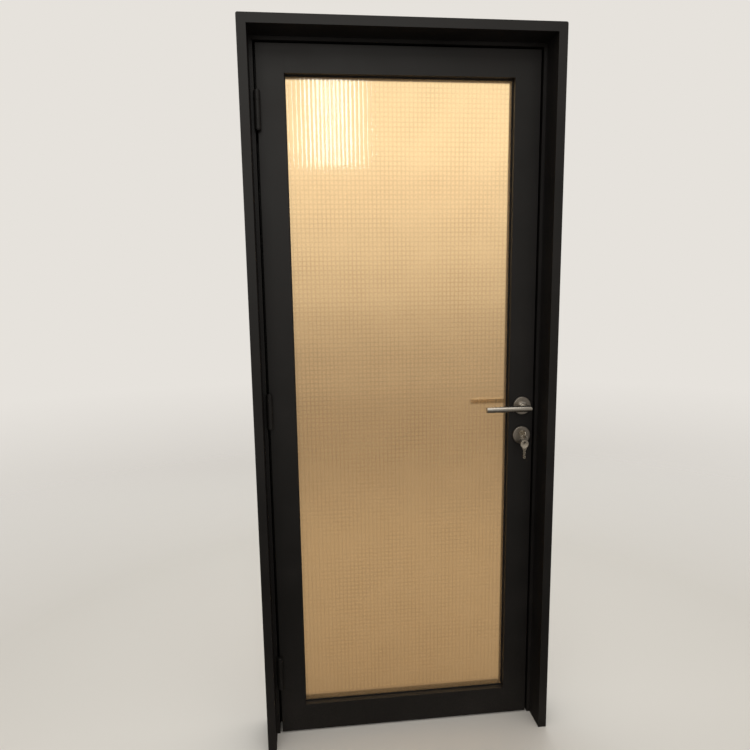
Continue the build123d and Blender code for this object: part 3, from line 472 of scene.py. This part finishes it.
@dataclass(frozen=True)
class CrossedReedGlass(Finish):
    """Rolled glass with upright reeds on one face and level ones on the other, lightly stippled by the rollers.

    The warm tan is in the glass; the darker tint along the valleys is painted shade.

    Attributes:
        pale: colour of the crests.
        valley_shade_colour: colour of the valleys, darker than the crests: painted shade.
        pitch_mm: reed widths across and up.
        start_mm: where the first reed starts, across and up.
        stipple_mm: width of one stipple of the rollers.
        middle_mm: depth of the pane's middle, which parts its glossy front from its satin back.
        back_rough: roughness of the satin back, which blurs what is behind the glass.
        level_share: strength of the painted shade along the level valleys beside the upright ones.
        shade_strength: least and greatest strength of the painted valley shade over the pane.
        clear: share of the light that passes through.
    """

    name: str = "rolled_crossed_reed_glass"
    pale: str = "#e8c594"
    valley_shade_colour: str = "#a67e52"
    pitch_mm: Pair = (12.143, 13.234)
    start_mm: Pair = (-340.0, 79.0)
    stipple_mm: float = 3.2
    middle_mm: float = 2.5
    back_rough: float = 0.26
    level_share: float = 0.85
    shade_strength: Pair = (0.13, 0.32)
    clear: float = 0.8

    def valley(self, along: Socket, pitch_mm: float, start_mm: float, share: float) -> Socket:
        """How near a point is to the valley between two reeds.

        Args:
            along: the coordinate across the reeds, in metres.
            pitch_mm: width of one reed.
            start_mm: where the first reed starts.
            share: the value in the valley.

        Returns:
            A socket with that share in the valley and 0 on the crest.
        """
        tree = along.id_data
        moved = add(tree, "Math", {0: along, 1: start_mm * MM}, operation="SUBTRACT").outputs[0]
        turns = add(tree, "Math", {0: moved, 1: math.pi / (pitch_mm * MM)}, operation="MULTIPLY").outputs[0]
        wave = add(tree, "Math", {0: turns}, operation="SINE").outputs[0]
        crest = add(tree, "Math", {0: wave}, operation="ABSOLUTE").outputs[0]
        return spread(crest, share, 0.0, 0.0, 0.75)

    def dress(self, tree: Tree, place: Socket, shader: Node) -> None:
        """Warm glass with painted shade along the valleys, a stipple, and part of the light scattered inside."""
        axes = add(tree, "SeparateXYZ", {"Vector": place}).outputs
        across = self.valley(axes["X"], self.pitch_mm[0], self.start_mm[0], 1.0)
        up = self.valley(axes["Z"], self.pitch_mm[1], self.start_mm[1], self.level_share)
        lines = add(tree, "Math", {0: across, 1: up}, operation="MAXIMUM").outputs[0]
        ripple = noise(place, 1000 / self.stipple_mm, 2.0, Roughness=0.5)
        cloud = noise(place, 9.0, 2.0)
        # The valley lines, weakened in clouds, darken the tint: painted shade.
        shade_strength = spread(cloud, *self.shade_strength, 0.3, 0.7)
        valley_shade = add(tree, "Math", {0: lines, 1: shade_strength}, operation="MULTIPLY").outputs[0]
        depth = add(tree, "Math", {0: ripple, 1: 0.16, 2: valley_shade}, operation="MULTIPLY_ADD").outputs[0]
        # The ramp runs from the glass's tan to the painted shade of the valleys.
        tone = ramp(depth, [(0.0, self.pale), (1.0, self.valley_shade_colour)])
        shader.inputs["Transmission Weight"].default_value = self.clear
        shader.inputs["IOR"].default_value = 1.5
        smooth = spread(ripple, 0.05, 0.1, 0.3, 0.75)
        behind = spread(axes["Y"], 0.0, 1.0, self.middle_mm * MM - 1e-4, self.middle_mm * MM + 1e-4)
        rough = add(tree, "Mix", {"Factor": behind, "A": smooth, "B": self.back_rough}, data_type="FLOAT")
        self.feed(shader, tone, rough.outputs["Result"])
        self.relief(shader, ripple, 0.02, 0.6)


@dataclass(frozen=True)
class Finishes:
    """The finish of each kind of piece."""

    coat: Finish = PowderCoat()
    lever: Finish = SatinStainless(rough=0.23, relief_share=0.05)
    plate: Finish = SatinStainless(name="satin_stainless_plate", lines=Brushing.UPRIGHT, rough=0.34)
    # The roses' stainless is the lever's made darker: painted shade, not a different metal.
    rose: Finish = SatinStainless(name="satin_stainless_rose_painted_darker", colour="#a39c93", dark="#857e76",
                                  lines=Brushing.TUMBLED, rough=0.32)
    # The strike plate gets a near-black colour: painted shade of the gap it sits in, on a steel plate.
    strike: Finish = ZincPlate(name="strike_plate_painted_shade", colour="#2b2a2a")
    brass: Finish = NickelBrass()
    zinc: Finish = ZincPlate()
    screw: Finish = TurnedSteel()
    block: Finish = SawnAluminium()
    rubber: Finish = SealRubber()
    nylon: Finish = MouldedNylon()
    glass: Finish = CrossedReedGlass()


FINISHES = Finishes()


# Modelling helpers


def pick(*objects: Object) -> None:
    """Selects just these objects.

    Args:
        *objects: the objects; the first one becomes active.
    """
    bpy.ops.object.select_all(action="DESELECT")
    for obj in objects:
        obj.select_set(True)
    bpy.context.view_layer.objects.active = objects[0]


def edit_all() -> None:
    """Enters edit mode with everything selected."""
    bpy.ops.object.mode_set(mode="EDIT")
    bpy.ops.mesh.select_all(action="SELECT")


def leave_edit() -> None:
    """Goes back to object mode."""
    bpy.ops.object.mode_set(mode="OBJECT")


def select_where(obj: Object, test: Callable[[Vector], bool]) -> None:
    """Enters edit mode with only some vertices selected.

    Args:
        obj: the active object.
        test: says of a vertex's place whether it is selected.
    """
    bpy.ops.object.mode_set(mode="EDIT")
    bpy.ops.mesh.select_mode(type="VERT")
    bpy.ops.mesh.select_all(action="DESELECT")
    leave_edit()
    for vertex in obj.data.vertices:
        vertex.select = test(vertex.co)
    bpy.ops.object.mode_set(mode="EDIT")


def weld(threshold: float) -> None:
    """Merges close vertices of the active mesh and turns its faces outward.

    Args:
        threshold: vertices nearer than this are merged, in metres.
    """
    edit_all()
    bpy.ops.mesh.remove_doubles(threshold=threshold)
    bpy.ops.mesh.normals_make_consistent(inside=False)
    leave_edit()


def apply_place() -> None:
    """Puts the selected objects' places into their meshes."""
    bpy.ops.object.transform_apply(location=True, rotation=True, scale=True)


def use_modifier(obj: Object, kind: str, **settings) -> None:
    """Adds one modifier and applies it.

    Args:
        obj: the object.
        kind: the modifier's type.
        **settings: the modifier's settings.
    """
    pick(obj)
    modifier = obj.modifiers.new(kind.lower(), kind)
    for key, value in settings.items():
        setattr(modifier, key, value)
    bpy.ops.object.modifier_apply(modifier=modifier.name)


def cut(obj: Object, tool: Object) -> None:
    """Cuts a closed tool out of an object and deletes the tool."""
    use_modifier(obj, "BOOLEAN", object=tool, operation="DIFFERENCE", solver="EXACT")
    bpy.data.objects.remove(tool)


def soften(obj: Object, width: float, segments: int, angle: float = 40.0) -> None:
    """Rounds the edges of an object that are sharper than an angle.

    Args:
        obj: the object.
        width: width of the rounding in metres.
        segments: its number of facets.
        angle: sharper edges are rounded, in degrees.
    """
    use_modifier(obj, "BEVEL", width=width, segments=segments, limit_method="ANGLE", angle_limit=math.radians(angle))


def merge(objects: list[Object], name: str) -> Object:
    """Joins objects into one.

    Args:
        objects: one object or more.
        name: the name of the result and of its mesh.

    Returns:
        The joined object.
    """
    pick(*objects)
    if len(objects) > 1:
        bpy.ops.object.join()
    joined = bpy.context.object
    joined.name = name
    joined.data.name = name
    return joined


def settle(obj: Object, finish: Finish, body: str, angle: float = 35.0) -> Object:
    """Puts the place into the mesh, smooths it, dresses it and lets it ride on a body.

    Args:
        obj: the finished piece.
        finish: its finish.
        body: the body that carries it.
        angle: edges sharper than this stay crisp, in degrees.

    Returns:
        The same piece.
    """
    pick(obj)
    apply_place()
    bpy.ops.object.shade_smooth_by_angle(angle=math.radians(angle))
    obj.data.materials.clear()
    obj.data.materials.append(finish.material())
    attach(obj, body)
    log.info("%s: %d faces", obj.name, len(obj.data.polygons))
    return obj


def rod(start: Point | Vector, end: Point | Vector, radius: float, sides: int = 48) -> Object:
    """A round bar between two points.

    Args:
        start: first end in metres.
        end: second end in metres.
        radius: radius in metres.
        sides: number of sides.

    Returns:
        The bar, with its place still in its object.
    """
    a, b = Vector(start), Vector(end)
    bpy.ops.mesh.primitive_cylinder_add(vertices=sides, radius=radius, depth=(b - a).length, location=(a + b) / 2,
                                        rotation=(b - a).to_track_quat("Z", "Y").to_euler())
    apply_place()
    return bpy.context.object


def block(low: Point, high: Point) -> Object:
    """A box between two corners.

    Args:
        low: the corner with the lowest coordinates, in metres.
        high: the opposite corner.

    Returns:
        The box.
    """
    size = Vector(high) - Vector(low)
    bpy.ops.mesh.primitive_cube_add(size=1, location=(Vector(high) + Vector(low)) / 2, scale=size)
    apply_place()
    return bpy.context.object


# The door's own pieces


@dataclass
class GlassPane:
    """Pane with upright reeds on the front and level ones on the back.

    Attributes:
        side: half the pane's width.
        low: height of its lower edge.
        high: height of its upper edge.
        front: depth of the front crests.
        back: depth of the back crests.
        depth: height of a reed.
        across: number of upright reeds.
        up: number of level reeds.
        steps: facets of one reed.
    """

    side: float = 0.340
    low: float = 0.079
    high: float = 1.998
    front: float = -0.0005
    back: float = 0.0055
    depth: float = 0.00014
    across: int = 56
    up: int = 145
    steps: int = 12

    def sheet(self, upright: bool) -> Object:
        """One reeded face: an arc spun from a point, drawn out along the reed and repeated side by side.

        The spin turns clockwise about its axis, so the axis points down the reed.

        Args:
            upright: True for the front with upright reeds, False for the back with level ones.

        Returns:
            The open sheet.
        """
        width, height = 2 * self.side, self.high - self.low
        pitch = width / self.across if upright else height / self.up
        radius = (self.depth ** 2 + (pitch / 2) ** 2) / (2 * self.depth)
        half = math.asin(pitch / 2 / radius)
        sign = 1 if upright else -1
        step = Vector((pitch, 0, 0)) if upright else Vector((0, 0, pitch))
        along = Vector((0, 0, height)) if upright else Vector((width, 0, 0))
        valley = Vector((-self.side, (self.front if upright else self.back) + sign * self.depth, self.low))
        centre = valley + step / 2 + Vector((0, sign * radius * math.cos(half), 0))
        bpy.ops.mesh.primitive_plane_add(size=1, location=(0, 0, 0))
        obj = bpy.context.object
        edit_all()
        bpy.ops.mesh.select_mode(type="VERT")
        bpy.ops.mesh.merge(type="COLLAPSE")
        bpy.ops.transform.translate(value=valley)
        bpy.ops.mesh.spin(steps=self.steps, angle=2 * half, center=centre,
                          axis=(0, 0, -1) if upright else (-1, 0, 0))
        bpy.ops.mesh.select_all(action="SELECT")
        bpy.ops.mesh.extrude_region_move(TRANSFORM_OT_translate={"value": along})
        leave_edit()
        use_modifier(obj, "ARRAY", count=self.across if upright else self.up, use_relative_offset=False,
                     use_constant_offset=True, constant_offset_displace=step, use_merge_vertices=True,
                     merge_threshold=2e-5)
        return obj

    def close_side(self, pane: Object, test: Callable[[Vector], bool]) -> None:
        """Fills between the vertices that pass a test: an edge for two of them, a face for a loop.

        Args:
            pane: the pane.
            test: says of a vertex's place whether it takes part.
        """
        select_where(pane, test)
        bpy.ops.mesh.edge_face_add()
        leave_edit()

    def build(self) -> None:
        """Joins the two sheets, closes the rim all round and puts the pane in the leaf."""
        pane = merge([self.sheet(True), self.sheet(False)], "crossed_reed_pane")
        near = 1e-5
        ends = (self.low, self.high)
        for x in (-self.side, self.side):
            for z in ends:
                self.close_side(pane, lambda co: abs(co.x - x) < near and abs(co.z - z) < near)
        for x in (-self.side, self.side):
            self.close_side(pane, lambda co: abs(co.x - x) < near)
        for z in ends:
            self.close_side(pane, lambda co: abs(co.z - z) < near)
        edit_all()
        bpy.ops.mesh.normals_make_consistent(inside=False)
        leave_edit()
        settle(pane, FINISHES.glass, "leaf", 20.0)
        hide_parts("glass_pane")


@dataclass
class LeverHandle:
    """Round bar lever with a mitred elbow, a neck and a collar on the rose.

    Attributes:
        name: the piece's name.
        node: the node that it stands for.
        face: depth of the leaf's face on this side.
        outward: -1 towards the front, 1 towards the back.
        x: place of the spindle.
        z: height of the spindle.
        radius: the bar's radius.
        reach: from the face to the bar's middle.
        length: from the bar's tip to its far side at the elbow.
        collar: the collar's radius.
        collar_depth: the collar's thickness.
        rose_depth: depth of the rose below the collar.
        neck_gap: clearance between the leaf and the neck.
        collar_gap: clearance between the rose and the collar.
        overrun: how far both bars pass the elbow before they are mitred.
        edge: rounding of the lever's edges.
        collar_edge: rounding of the collar's edges.
    """

    name: str
    node: str
    face: float
    outward: int
    x: float = 0.365
    z: float = 1.040
    radius: float = 0.009
    reach: float = 0.057
    length: float = 0.1375
    collar: float = 0.014
    collar_depth: float = 0.003
    rose_depth: float = 0.008
    neck_gap: float = 0.0006
    collar_gap: float = 0.0003
    overrun: float = 0.03
    edge: float = 0.0011
    collar_edge: float = 0.0007

    def build(self) -> None:
        """Builds the lever and lets it ride on the lever's body."""
        bar_y = self.face + self.outward * self.reach
        tip = self.x + self.radius - self.length
        bar = rod((tip, bar_y, self.z), (self.x + self.overrun, bar_y, self.z), self.radius)
        start_y = self.face + self.outward * self.neck_gap
        neck = rod((self.x, start_y, self.z), (self.x, bar_y + self.outward * self.overrun, self.z), self.radius)
        elbow = Vector((self.x, bar_y, self.z))
        for piece, keep in ((bar, Vector((-1, self.outward, 0))), (neck, Vector((1, -self.outward, 0)))):
            pick(piece)
            edit_all()
            bpy.ops.mesh.bisect(plane_co=elbow, plane_no=keep, clear_inner=True, use_fill=False)
            leave_edit()
        lever = merge([bar, neck], self.name)
        weld(2e-5)
        soften(lever, self.edge, 3)
        y0 = self.face + self.outward * (self.rose_depth + self.collar_gap)
        ring = rod((self.x, y0, self.z), (self.x, y0 + self.outward * self.collar_depth, self.z), self.collar, 64)
        soften(ring, self.collar_edge, 3)
        lever = merge([lever, ring], self.name)
        settle(lever, FINISHES.lever, "lever")
        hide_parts(self.node)


@dataclass
class SplitRing:
    """Ring of two turns of flat wire.

    Attributes:
        centre: middle of the ring.
        radius: radius of the wire's middle.
        wire: width and thickness of one turn.
        gap: clearance on each side of the middle between the turns.
        edge: rounding of the wire's corners.
        turned: turn about the upright axis, in degrees.
    """

    centre: Point = (0.365, -0.053, 0.9431)
    radius: float = 0.010
    wire: Pair = (0.00074, 0.0011)
    gap: float = 0.00003
    edge: float = 0.0002
    turned: float = 45.0

    def build(self) -> None:
        """Spins the two turns round the ring's axis."""
        turn = Matrix.Rotation(math.radians(self.turned), 4, "Z")
        turns = []
        for side in (-1, 1):
            bpy.ops.mesh.primitive_plane_add(size=1, location=(0, 0, 0))
            obj = bpy.context.object
            offset = side * (self.wire[0] / 2 + self.gap)
            for vertex in obj.data.vertices:
                a, b = vertex.co.x, vertex.co.y
                vertex.co = Vector((offset + a * self.wire[0], 0, self.radius + b * self.wire[1]))
            edit_all()
            bpy.ops.mesh.bevel(offset=self.edge, segments=3, affect="VERTICES")
            bpy.ops.mesh.delete(type="ONLY_FACE")
            bpy.ops.mesh.select_all(action="SELECT")
            bpy.ops.mesh.spin(steps=96, angle=2 * math.pi, center=(0, 0, 0), axis=(1, 0, 0))
            leave_edit()
            weld(1e-6)
            turns.append(obj)
        ring = merge(turns, "split_ring")
        ring.matrix_world = Matrix.Translation(self.centre) @ turn
        settle(ring, FINISHES.plate, "ring")
        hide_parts("key_ring")


@dataclass
class Key:
    """Flat key cut from its solid, with softened edges, a milled groove down the blade and a rim round the bow.

    Attributes:
        name: the piece's name.
        node: the node that it stands for.
        body: the body that carries it.
        hole: the bow's hole.
        along: direction from the hole to the tip.
        flat: direction across the key's thickness.
        blade: start and end of the blade from the hole.
        face: from the middle to the milling's centre line on either face.
        grooves: places of the two grooves across the blade.
        groove_radius: radius of a groove.
        groove_run: how far a groove starts before the blade and ends past it.
        bow_middle: middle of the bow from the hole.
        dish: radius and half depth of the dish in the bow.
        eye: radius and half depth of the rim that stays round the hole.
        edge: rounding of the edges.
    """

    name: str
    node: str
    body: str
    hole: Point
    along: Point
    flat: Point
    blade: Pair = (0.0245, 0.0490)
    face: float = 0.0011
    grooves: Pair = (-0.0011, 0.0013)
    groove_radius: float = 0.0007
    groove_run: Pair = (0.004, 0.01)
    bow_middle: float = 0.006
    dish: Pair = (0.0102, 0.0003)
    eye: Pair = (0.0052, 0.0005)
    edge: float = 0.00018

    def build(self) -> None:
        """Copies the solid, mills its grooves and its bow and softens it."""
        obj = bpy.data.objects.new(self.name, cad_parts[self.node].data.copy())
        bpy.context.scene.collection.objects.link(obj)
        pick(obj)
        edit_all()
        bpy.ops.mesh.remove_doubles(threshold=1e-6)
        bpy.ops.mesh.dissolve_limited(angle_limit=math.radians(1))
        leave_edit()
        hole, along, flat = Vector(self.hole), Vector(self.along), Vector(self.flat)
        side = along.cross(flat)
        start, end = self.blade[0] - self.groove_run[0], self.blade[1] + self.groove_run[1]
        for face_side in (-1, 1):
            middle = hole + flat * face_side * self.face
            for shift in self.grooves:
                line = middle + side * shift
                cut(obj, rod(line + along * start, line + along * end, self.groove_radius, 12))
            centre = middle + along * self.bow_middle
            dish = rod(centre - flat * self.dish[1], centre + flat * self.dish[1], self.dish[0], 64)
            eye = rod(middle - flat * self.eye[1], middle + flat * self.eye[1], self.eye[0], 48)
            cut(dish, eye)
            cut(obj, dish)
        soften(obj, self.edge, 2, 35)
        settle(obj, FINISHES.brass, self.body, 30.0)
        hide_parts(self.node)


@dataclass
class ScrewSet:
    """Screws with cross recesses in place of a node's plain ones.

    Attributes:
        node: the node that they stand for.
        body: the body that carries them.
        outward: direction that the heads face.
        head_depth: depth of the head.
        length: from the head's face to the tip.
        shank: radius of the shank.
        head: radius of the head.
        countersunk: True for a flat head, False for a domed one.
        finish: their finish.
        apart: vertices nearer than this belong to one screw.
        cross: the recess's half length, half width and depth, as shares of the head's radius and depth.
    """

    node: str
    body: str
    outward: Point
    head_depth: float
    length: float
    shank: float = 0.0022
    head: float = 0.0040
    countersunk: bool = True
    finish: Finish = FINISHES.screw
    apart: float = 0.016
    cross: Point = (0.62, 0.16, 0.75)

    def places(self) -> list[Vector]:
        """Middle of each head's outer face, read from the node's separate screws.

        Returns:
            One point for each screw.
        """
        out = Vector(self.outward)
        groups: list[list[Vector]] = []
        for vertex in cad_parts[self.node].data.vertices:
            for group in groups:
                if (group[0] - vertex.co).length < self.apart:
                    group.append(vertex.co)
                    break
            else:
                groups.append([vertex.co])
        found = []
        for group in groups:
            low = Vector([min(v[i] for v in group) for i in range(3)])
            high = Vector([max(v[i] for v in group) for i in range(3)])
            middle = (low + high) / 2
            reach = max(v.dot(out) for v in group)
            found.append(middle + out * (reach - middle.dot(out)))
        return found

    def model(self) -> Object:
        """One screw at the origin with its head towards +Z.

        Returns:
            The screw.
        """
        shank = rod((0, 0, -self.length), (0, 0, -self.head_depth * 0.9), self.shank, 16)
        bpy.ops.mesh.primitive_cone_add(vertices=24, radius1=self.shank if self.countersunk else self.head,
                                        radius2=self.head, depth=self.head_depth,
                                        location=(0, 0, -self.head_depth / 2))
        head = bpy.context.object
        apply_place()
        if not self.countersunk:
            soften(head, self.head_depth * 0.45, 4, 60)
        arm, gap, floor = self.head * self.cross[0], self.head * self.cross[1], -self.head_depth * self.cross[2]
        for x, y in ((arm, gap), (gap, arm)):
            cut(head, block((-x, -y, floor), (x, y, 0.001)))
        return merge([head, shank], "screw_model")

    def build(self) -> None:
        """Copies the screw to each place, each turned its own way."""
        model = self.model()
        out = Vector(self.outward)
        face = out.to_track_quat("Z", "Y").to_matrix().to_4x4()
        copies = []
        for index, place in enumerate(self.places()):
            turned = model.copy()
            turned.data = model.data.copy()
            bpy.context.scene.collection.objects.link(turned)
            spun = Matrix.Rotation(0.7 * index + 0.3, 4, "Z")
            turned.data.transform(Matrix.Translation(place) @ face @ spun)
            copies.append(turned)
        bpy.data.objects.remove(model)
        screws = merge(copies, f"{self.node}_cross_head")
        settle(screws, self.finish, self.body)
        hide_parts(self.node)


@dataclass
class BrushStrip:
    """Holder under the bottom rail with rows of bristles.

    Attributes:
        half: half the strip's length.
        middle_y: depth of its middle.
        holder: half the holder's depth and its lower and upper height.
        tip: height of the bristles' ends.
        pile: half the pile's depth.
        tufts: number of tufts along the strip.
        rows: rows of bristles across it.
        bristle: radius of a bristle at its tip and at its root.
        lean: how far the tips of one row lean further than those of the next.
    """

    half: float = 0.398
    middle_y: float = 0.0045
    holder: Point = (0.006, 0.004, 0.006)
    tip: float = 0.001
    pile: float = 0.0025
    tufts: int = 398
    rows: int = 5
    bristle: Pair = (0.00028, 0.00042)
    lean: float = 0.0004

    def build(self) -> None:
        """Builds the holder and the rows of tufts below it."""
        width, low, high = self.holder
        holder = block((-self.half, self.middle_y - width, low), (self.half, self.middle_y + width, high))
        soften(holder, 0.0004, 2)
        pitch = 2 * self.half / self.tufts
        clump = []
        for row in range(self.rows):
            from_middle = row - self.rows // 2
            y = self.middle_y + from_middle * self.pile / 2.4
            x = -self.half + pitch * (0.25 + 0.5 * (row % 2))
            bpy.ops.mesh.primitive_cone_add(vertices=5, radius1=self.bristle[0], radius2=self.bristle[1],
                                            depth=low - self.tip, location=(x, y, (low + self.tip) / 2))
            tuft = bpy.context.object
            apply_place()
            select_where(tuft, lambda co: co.z < self.tip + 1e-5)
            bpy.ops.transform.translate(value=(0.0002 * (row % 3 - 1), self.lean * from_middle, 0))
            leave_edit()
            clump.append(tuft)
        pile = merge(clump, "bristles")
        use_modifier(pile, "ARRAY", count=self.tufts, use_relative_offset=False, use_constant_offset=True,
                     constant_offset_displace=(pitch, 0, 0))
        strip = merge([holder, pile], "bristle_strip")
        settle(strip, FINISHES.nylon, "leaf")
        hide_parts("bottom_brush_seal")


@dataclass
class DoorDress:
    """Gives every node that stays its finish.

    Attributes:
        finish_of: name of a finish and the nodes that get it.
    """

    finish_of: dict[str, list[str]] = field(default_factory=lambda: {
        "coat": ["hinge_side_trim", "lock_side_trim", "head_trim", "hinge_jamb", "lock_jamb", "head_jamb",
                 "hinge_stile", "lock_stile", "top_rail", "bottom_rail", "top_bead", "bottom_bead",
                 "hinge_side_bead", "lock_side_bead", "hinge_frame_wings", "hinge_leaf_wings", "hinge_pins"],
        "rose": ["lever_rose_front", "lever_rose_back", "cylinder_rose_front", "cylinder_rose_back"],
        "plate": ["lock_faceplate", "latch_bolt", "deadbolt"],
        "strike": ["strike_plate"],
        "brass": ["cylinder_body", "front_plug", "back_plug", "cam"],
        "zinc": ["lock_case", "follower", "spindle", "rose_bases"],
        "block": ["frame_corner_blocks", "leaf_corner_blocks"],
        "screw": ["frame_corner_screws", "leaf_corner_screws", "rose_screws", "cylinder_screw",
                  "lever_grub_screws"],
        "rubber": ["front_gasket", "back_gasket", "hinge_side_seal", "lock_side_seal", "head_seal"],
        "nylon": ["setting_blocks"],
    })

    def build(self) -> None:
        """Assigns each finish to its nodes' slots."""
        for finish_name, nodes in self.finish_of.items():
            finish: Finish = getattr(FINISHES, finish_name)
            for node in nodes:
                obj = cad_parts[node]
                if not obj.material_slots:
                    obj.data.materials.append(finish.material())
                for slot in obj.material_slots:
                    slot.material = finish.material()
            log.info("%s: %d nodes", finish_name, len(nodes))


# The studio


@dataclass(frozen=True)
class SoftLamp:
    """Soft rectangular lamp.

    Attributes:
        name: the lamp's name.
        place: where it is.
        aim: what it points at.
        size: its width and height in metres.
        power: its power in watts.
        colour: its colour.
    """

    name: str
    place: Point
    aim: Point
    size: Pair
    power: float
    colour: str

    def build(self) -> None:
        """Hangs the lamp and aims it."""
        data = bpy.data.lights.new(self.name, "AREA")
        data.shape = "RECTANGLE"
        data.size, data.size_y = self.size
        data.energy = self.power
        data.color = linear(self.colour)[:3]
        obj = bpy.data.objects.new(self.name, data)
        bpy.context.scene.collection.objects.link(obj)
        obj.location = self.place
        obj.rotation_euler = (Vector(self.aim) - Vector(self.place)).to_track_quat("-Z", "Y").to_euler()


@dataclass
class Studio:
    """Pale floor, pale surroundings, soft lamps and the camera.

    Attributes:
        floor: the floor's colour.
        floor_mirrored: the floor's colour in reflections, darker, so that round metal keeps a dark underside.
        air: the surroundings' colour as the camera sees it.
        behind: the surroundings' colour through the glass, a dimmer room than the viewer's.
        mirrored: the surroundings' colour in reflections, a little darker, so that metal keeps its contrast.
        fill: strength of the surroundings' light.
        rear: lower edge and power of each layer of the wide lamp behind the door, in metres and watts; together
            they brighten the glass smoothly towards its head.
        rear_top: upper edge of those layers.
        rear_place: how far behind the door the first layer is, and how far each next one is behind it.
        lamps: the other lamps; the first shows as the highlight at the pane's upper left.
        floor_radius: the floor's radius.
        lens: the camera's lens in mm, fitted to the photograph as the next three are.
        shift: shift of the lens across and up.
        eye: the camera's place.
        turned: the camera's turn about each axis, in degrees.
    """

    floor: str = "#d9d5cf"
    floor_mirrored: str = "#5f5a54"
    air: str = "#e6e2dc"
    behind: str = "#bbb7b0"
    mirrored: str = "#b5b0a8"
    fill: float = 0.55
    rear: tuple[Pair, ...] = (
        (0.6, 8.4), (1.0, 8.6), (1.3, 13.5), (1.65, 10.2), (2.0, 8.6), (2.4, 12.0))
    rear_top: float = 4.3
    rear_place: Pair = (2.9, 0.05)
    lamps: tuple[SoftLamp, ...] = (
        SoftLamp("window_softbox", (-0.02, -3.0, 2.73), (-0.1, 0, 1.6), (0.2, 0.65), 7.0, "#fffdf8"),
        SoftLamp("front_fill", (-1.6, -3.4, 2.2), (0, 0, 1.0), (1.6, 1.6), 14.0, "#fffdf8"),
        SoftLamp("ceiling_behind", (0.3, 0.5, 3.2), (0.3, 0.5, 0), (1.6, 0.8), 16.0, "#fffaf2"),
        SoftLamp("overhead", (0.0, -1.6, 4.2), (0, 0, 0.9), (4.0, 3.0), 40.0, "#fffcf6"),
    )
    floor_radius: float = 9.0
    lens: float = 27.97
    shift: Pair = (0.0210, 0.0150)
    eye: Point = (-0.3046, -1.7225, 1.3700)
    turned: Point = (81.537, 1.013, -5.859)

    def surroundings(self) -> None:
        """World that looks pale and lights softly."""
        world = bpy.data.worlds.new("studio_air")
        bpy.context.scene.world = world
        tree = clear_tree(world)
        path = add(tree, "LightPath").outputs
        skies = [add(tree, "Background", {"Color": linear(colour), "Strength": strength})
                 for colour, strength in (("#fbf8f3", self.fill), (self.mirrored, 1.0), (self.behind, 1.0),
                                          (self.air, 1.0))]
        seen = skies[0].outputs[0]
        for ray, sky in zip(("Is Glossy Ray", "Is Transmission Ray", "Is Camera Ray"), skies[1:]):
            seen = add(tree, "MixShader", {0: path[ray], 1: seen, 2: sky.outputs[0]}).outputs[0]
        add(tree, "OutputWorld", {"Surface": seen})

    def ground(self) -> None:
        """Round floor that fades into the surroundings."""
        bpy.ops.mesh.primitive_circle_add(vertices=96, radius=self.floor_radius, fill_type="NGON", location=(0, 0, 0))
        floor = bpy.context.object
        floor.name = "studio_floor"
        material = bpy.data.materials.new("painted_floor")
        tree = clear_tree(material)
        place = add(tree, "TexCoord").outputs["Object"]
        far = add(tree, "VectorMath", {0: place}, operation="LENGTH").outputs["Value"]
        nearness = add(tree, "Math", {0: 1.0, 1: far}, operation="DIVIDE").outputs[0]
        fade = spread(nearness, 1.0, 0.0, 0.12, 0.6)
        path = add(tree, "LightPath").outputs
        mirror = add(tree, "Math", {0: path["Is Glossy Ray"], 1: path["Is Transmission Ray"]},
                     operation="SUBTRACT", use_clamp=True).outputs[0]
        tone = add(tree, "Mix", {"Factor": mirror, "A": linear(self.floor), "B": linear(self.floor_mirrored)},
                   data_type="RGBA").outputs["Result"]
        paint = add(tree, "BsdfPrincipled", {"Base Color": tone, "Roughness": 0.6, "Specular IOR Level": 0.25})
        clear = add(tree, "BsdfTransparent")
        both = add(tree, "MixShader", {0: fade, 1: paint.outputs[0], 2: clear.outputs[0]})
        add(tree, "OutputMaterial", {"Surface": both.outputs[0]})
        floor.data.materials.append(material)

    def camera(self) -> None:
        """Camera at the photograph's viewing angle."""
        data = bpy.data.cameras.new("camera")
        data.lens = self.lens
        data.sensor_width = 36.0
        data.shift_x, data.shift_y = self.shift
        data.clip_end = 60
        obj = bpy.data.objects.new("camera", data)
        bpy.context.scene.collection.objects.link(obj)
        obj.location = self.eye
        obj.rotation_euler = [math.radians(a) for a in self.turned]
        bpy.context.scene.camera = obj

    def build(self) -> None:
        """Sets up the whole studio."""
        bpy.context.scene.view_settings.view_transform = "Standard"
        self.surroundings()
        self.ground()
        for lamp in self.lamps:
            lamp.build()
        for layer, (low, power) in enumerate(self.rear):
            y, z = self.rear_place[0] + self.rear_place[1] * layer, (low + self.rear_top) / 2
            SoftLamp(f"rear_{layer}", (0.2, y, z), (0.2, 0, z - 0.2), (4.4, self.rear_top - low), power,
                     "#f2fbff").build()
        self.camera()


def main() -> None:
    """Builds the pieces in order, dresses the rest and sets up the studio."""
    DoorDress().build()
    GlassPane().build()
    LeverHandle("front_lever", "lever_front", -0.0205, -1).build()
    LeverHandle("back_lever", "lever_back", 0.0295, 1).build()
    SplitRing().build()
    Key("turned_key", "key_in_lock", "key", (0.365, -0.053, 0.955), (0, 1, 0), (1, 0, 0)).build()
    Key("hanging_key", "spare_key", "spare", (0.365, -0.053, 0.9312), (0, 0, -1), (0, 1, 0)).build()
    ScrewSet("faceplate_screws", "leaf", (1, 0, 0), 0.0020, 0.011).build()
    ScrewSet("strike_screws", "frame", (-1, 0, 0), 0.0020, 0.011).build()
    ScrewSet("hinge_screws_frame", "frame", (1, 0, 0), 0.0022, 0.012).build()
    ScrewSet("hinge_screws_leaf", "leaf", (-1, 0, 0), 0.0022, 0.012).build()
    ScrewSet("trim_screws", "frame", (0, -1, 0), 0.0016, 0.012, 0.0016, 0.0034, False).build()
    BrushStrip().build()
    Studio().build()


if __name__ == "__main__":
    main()
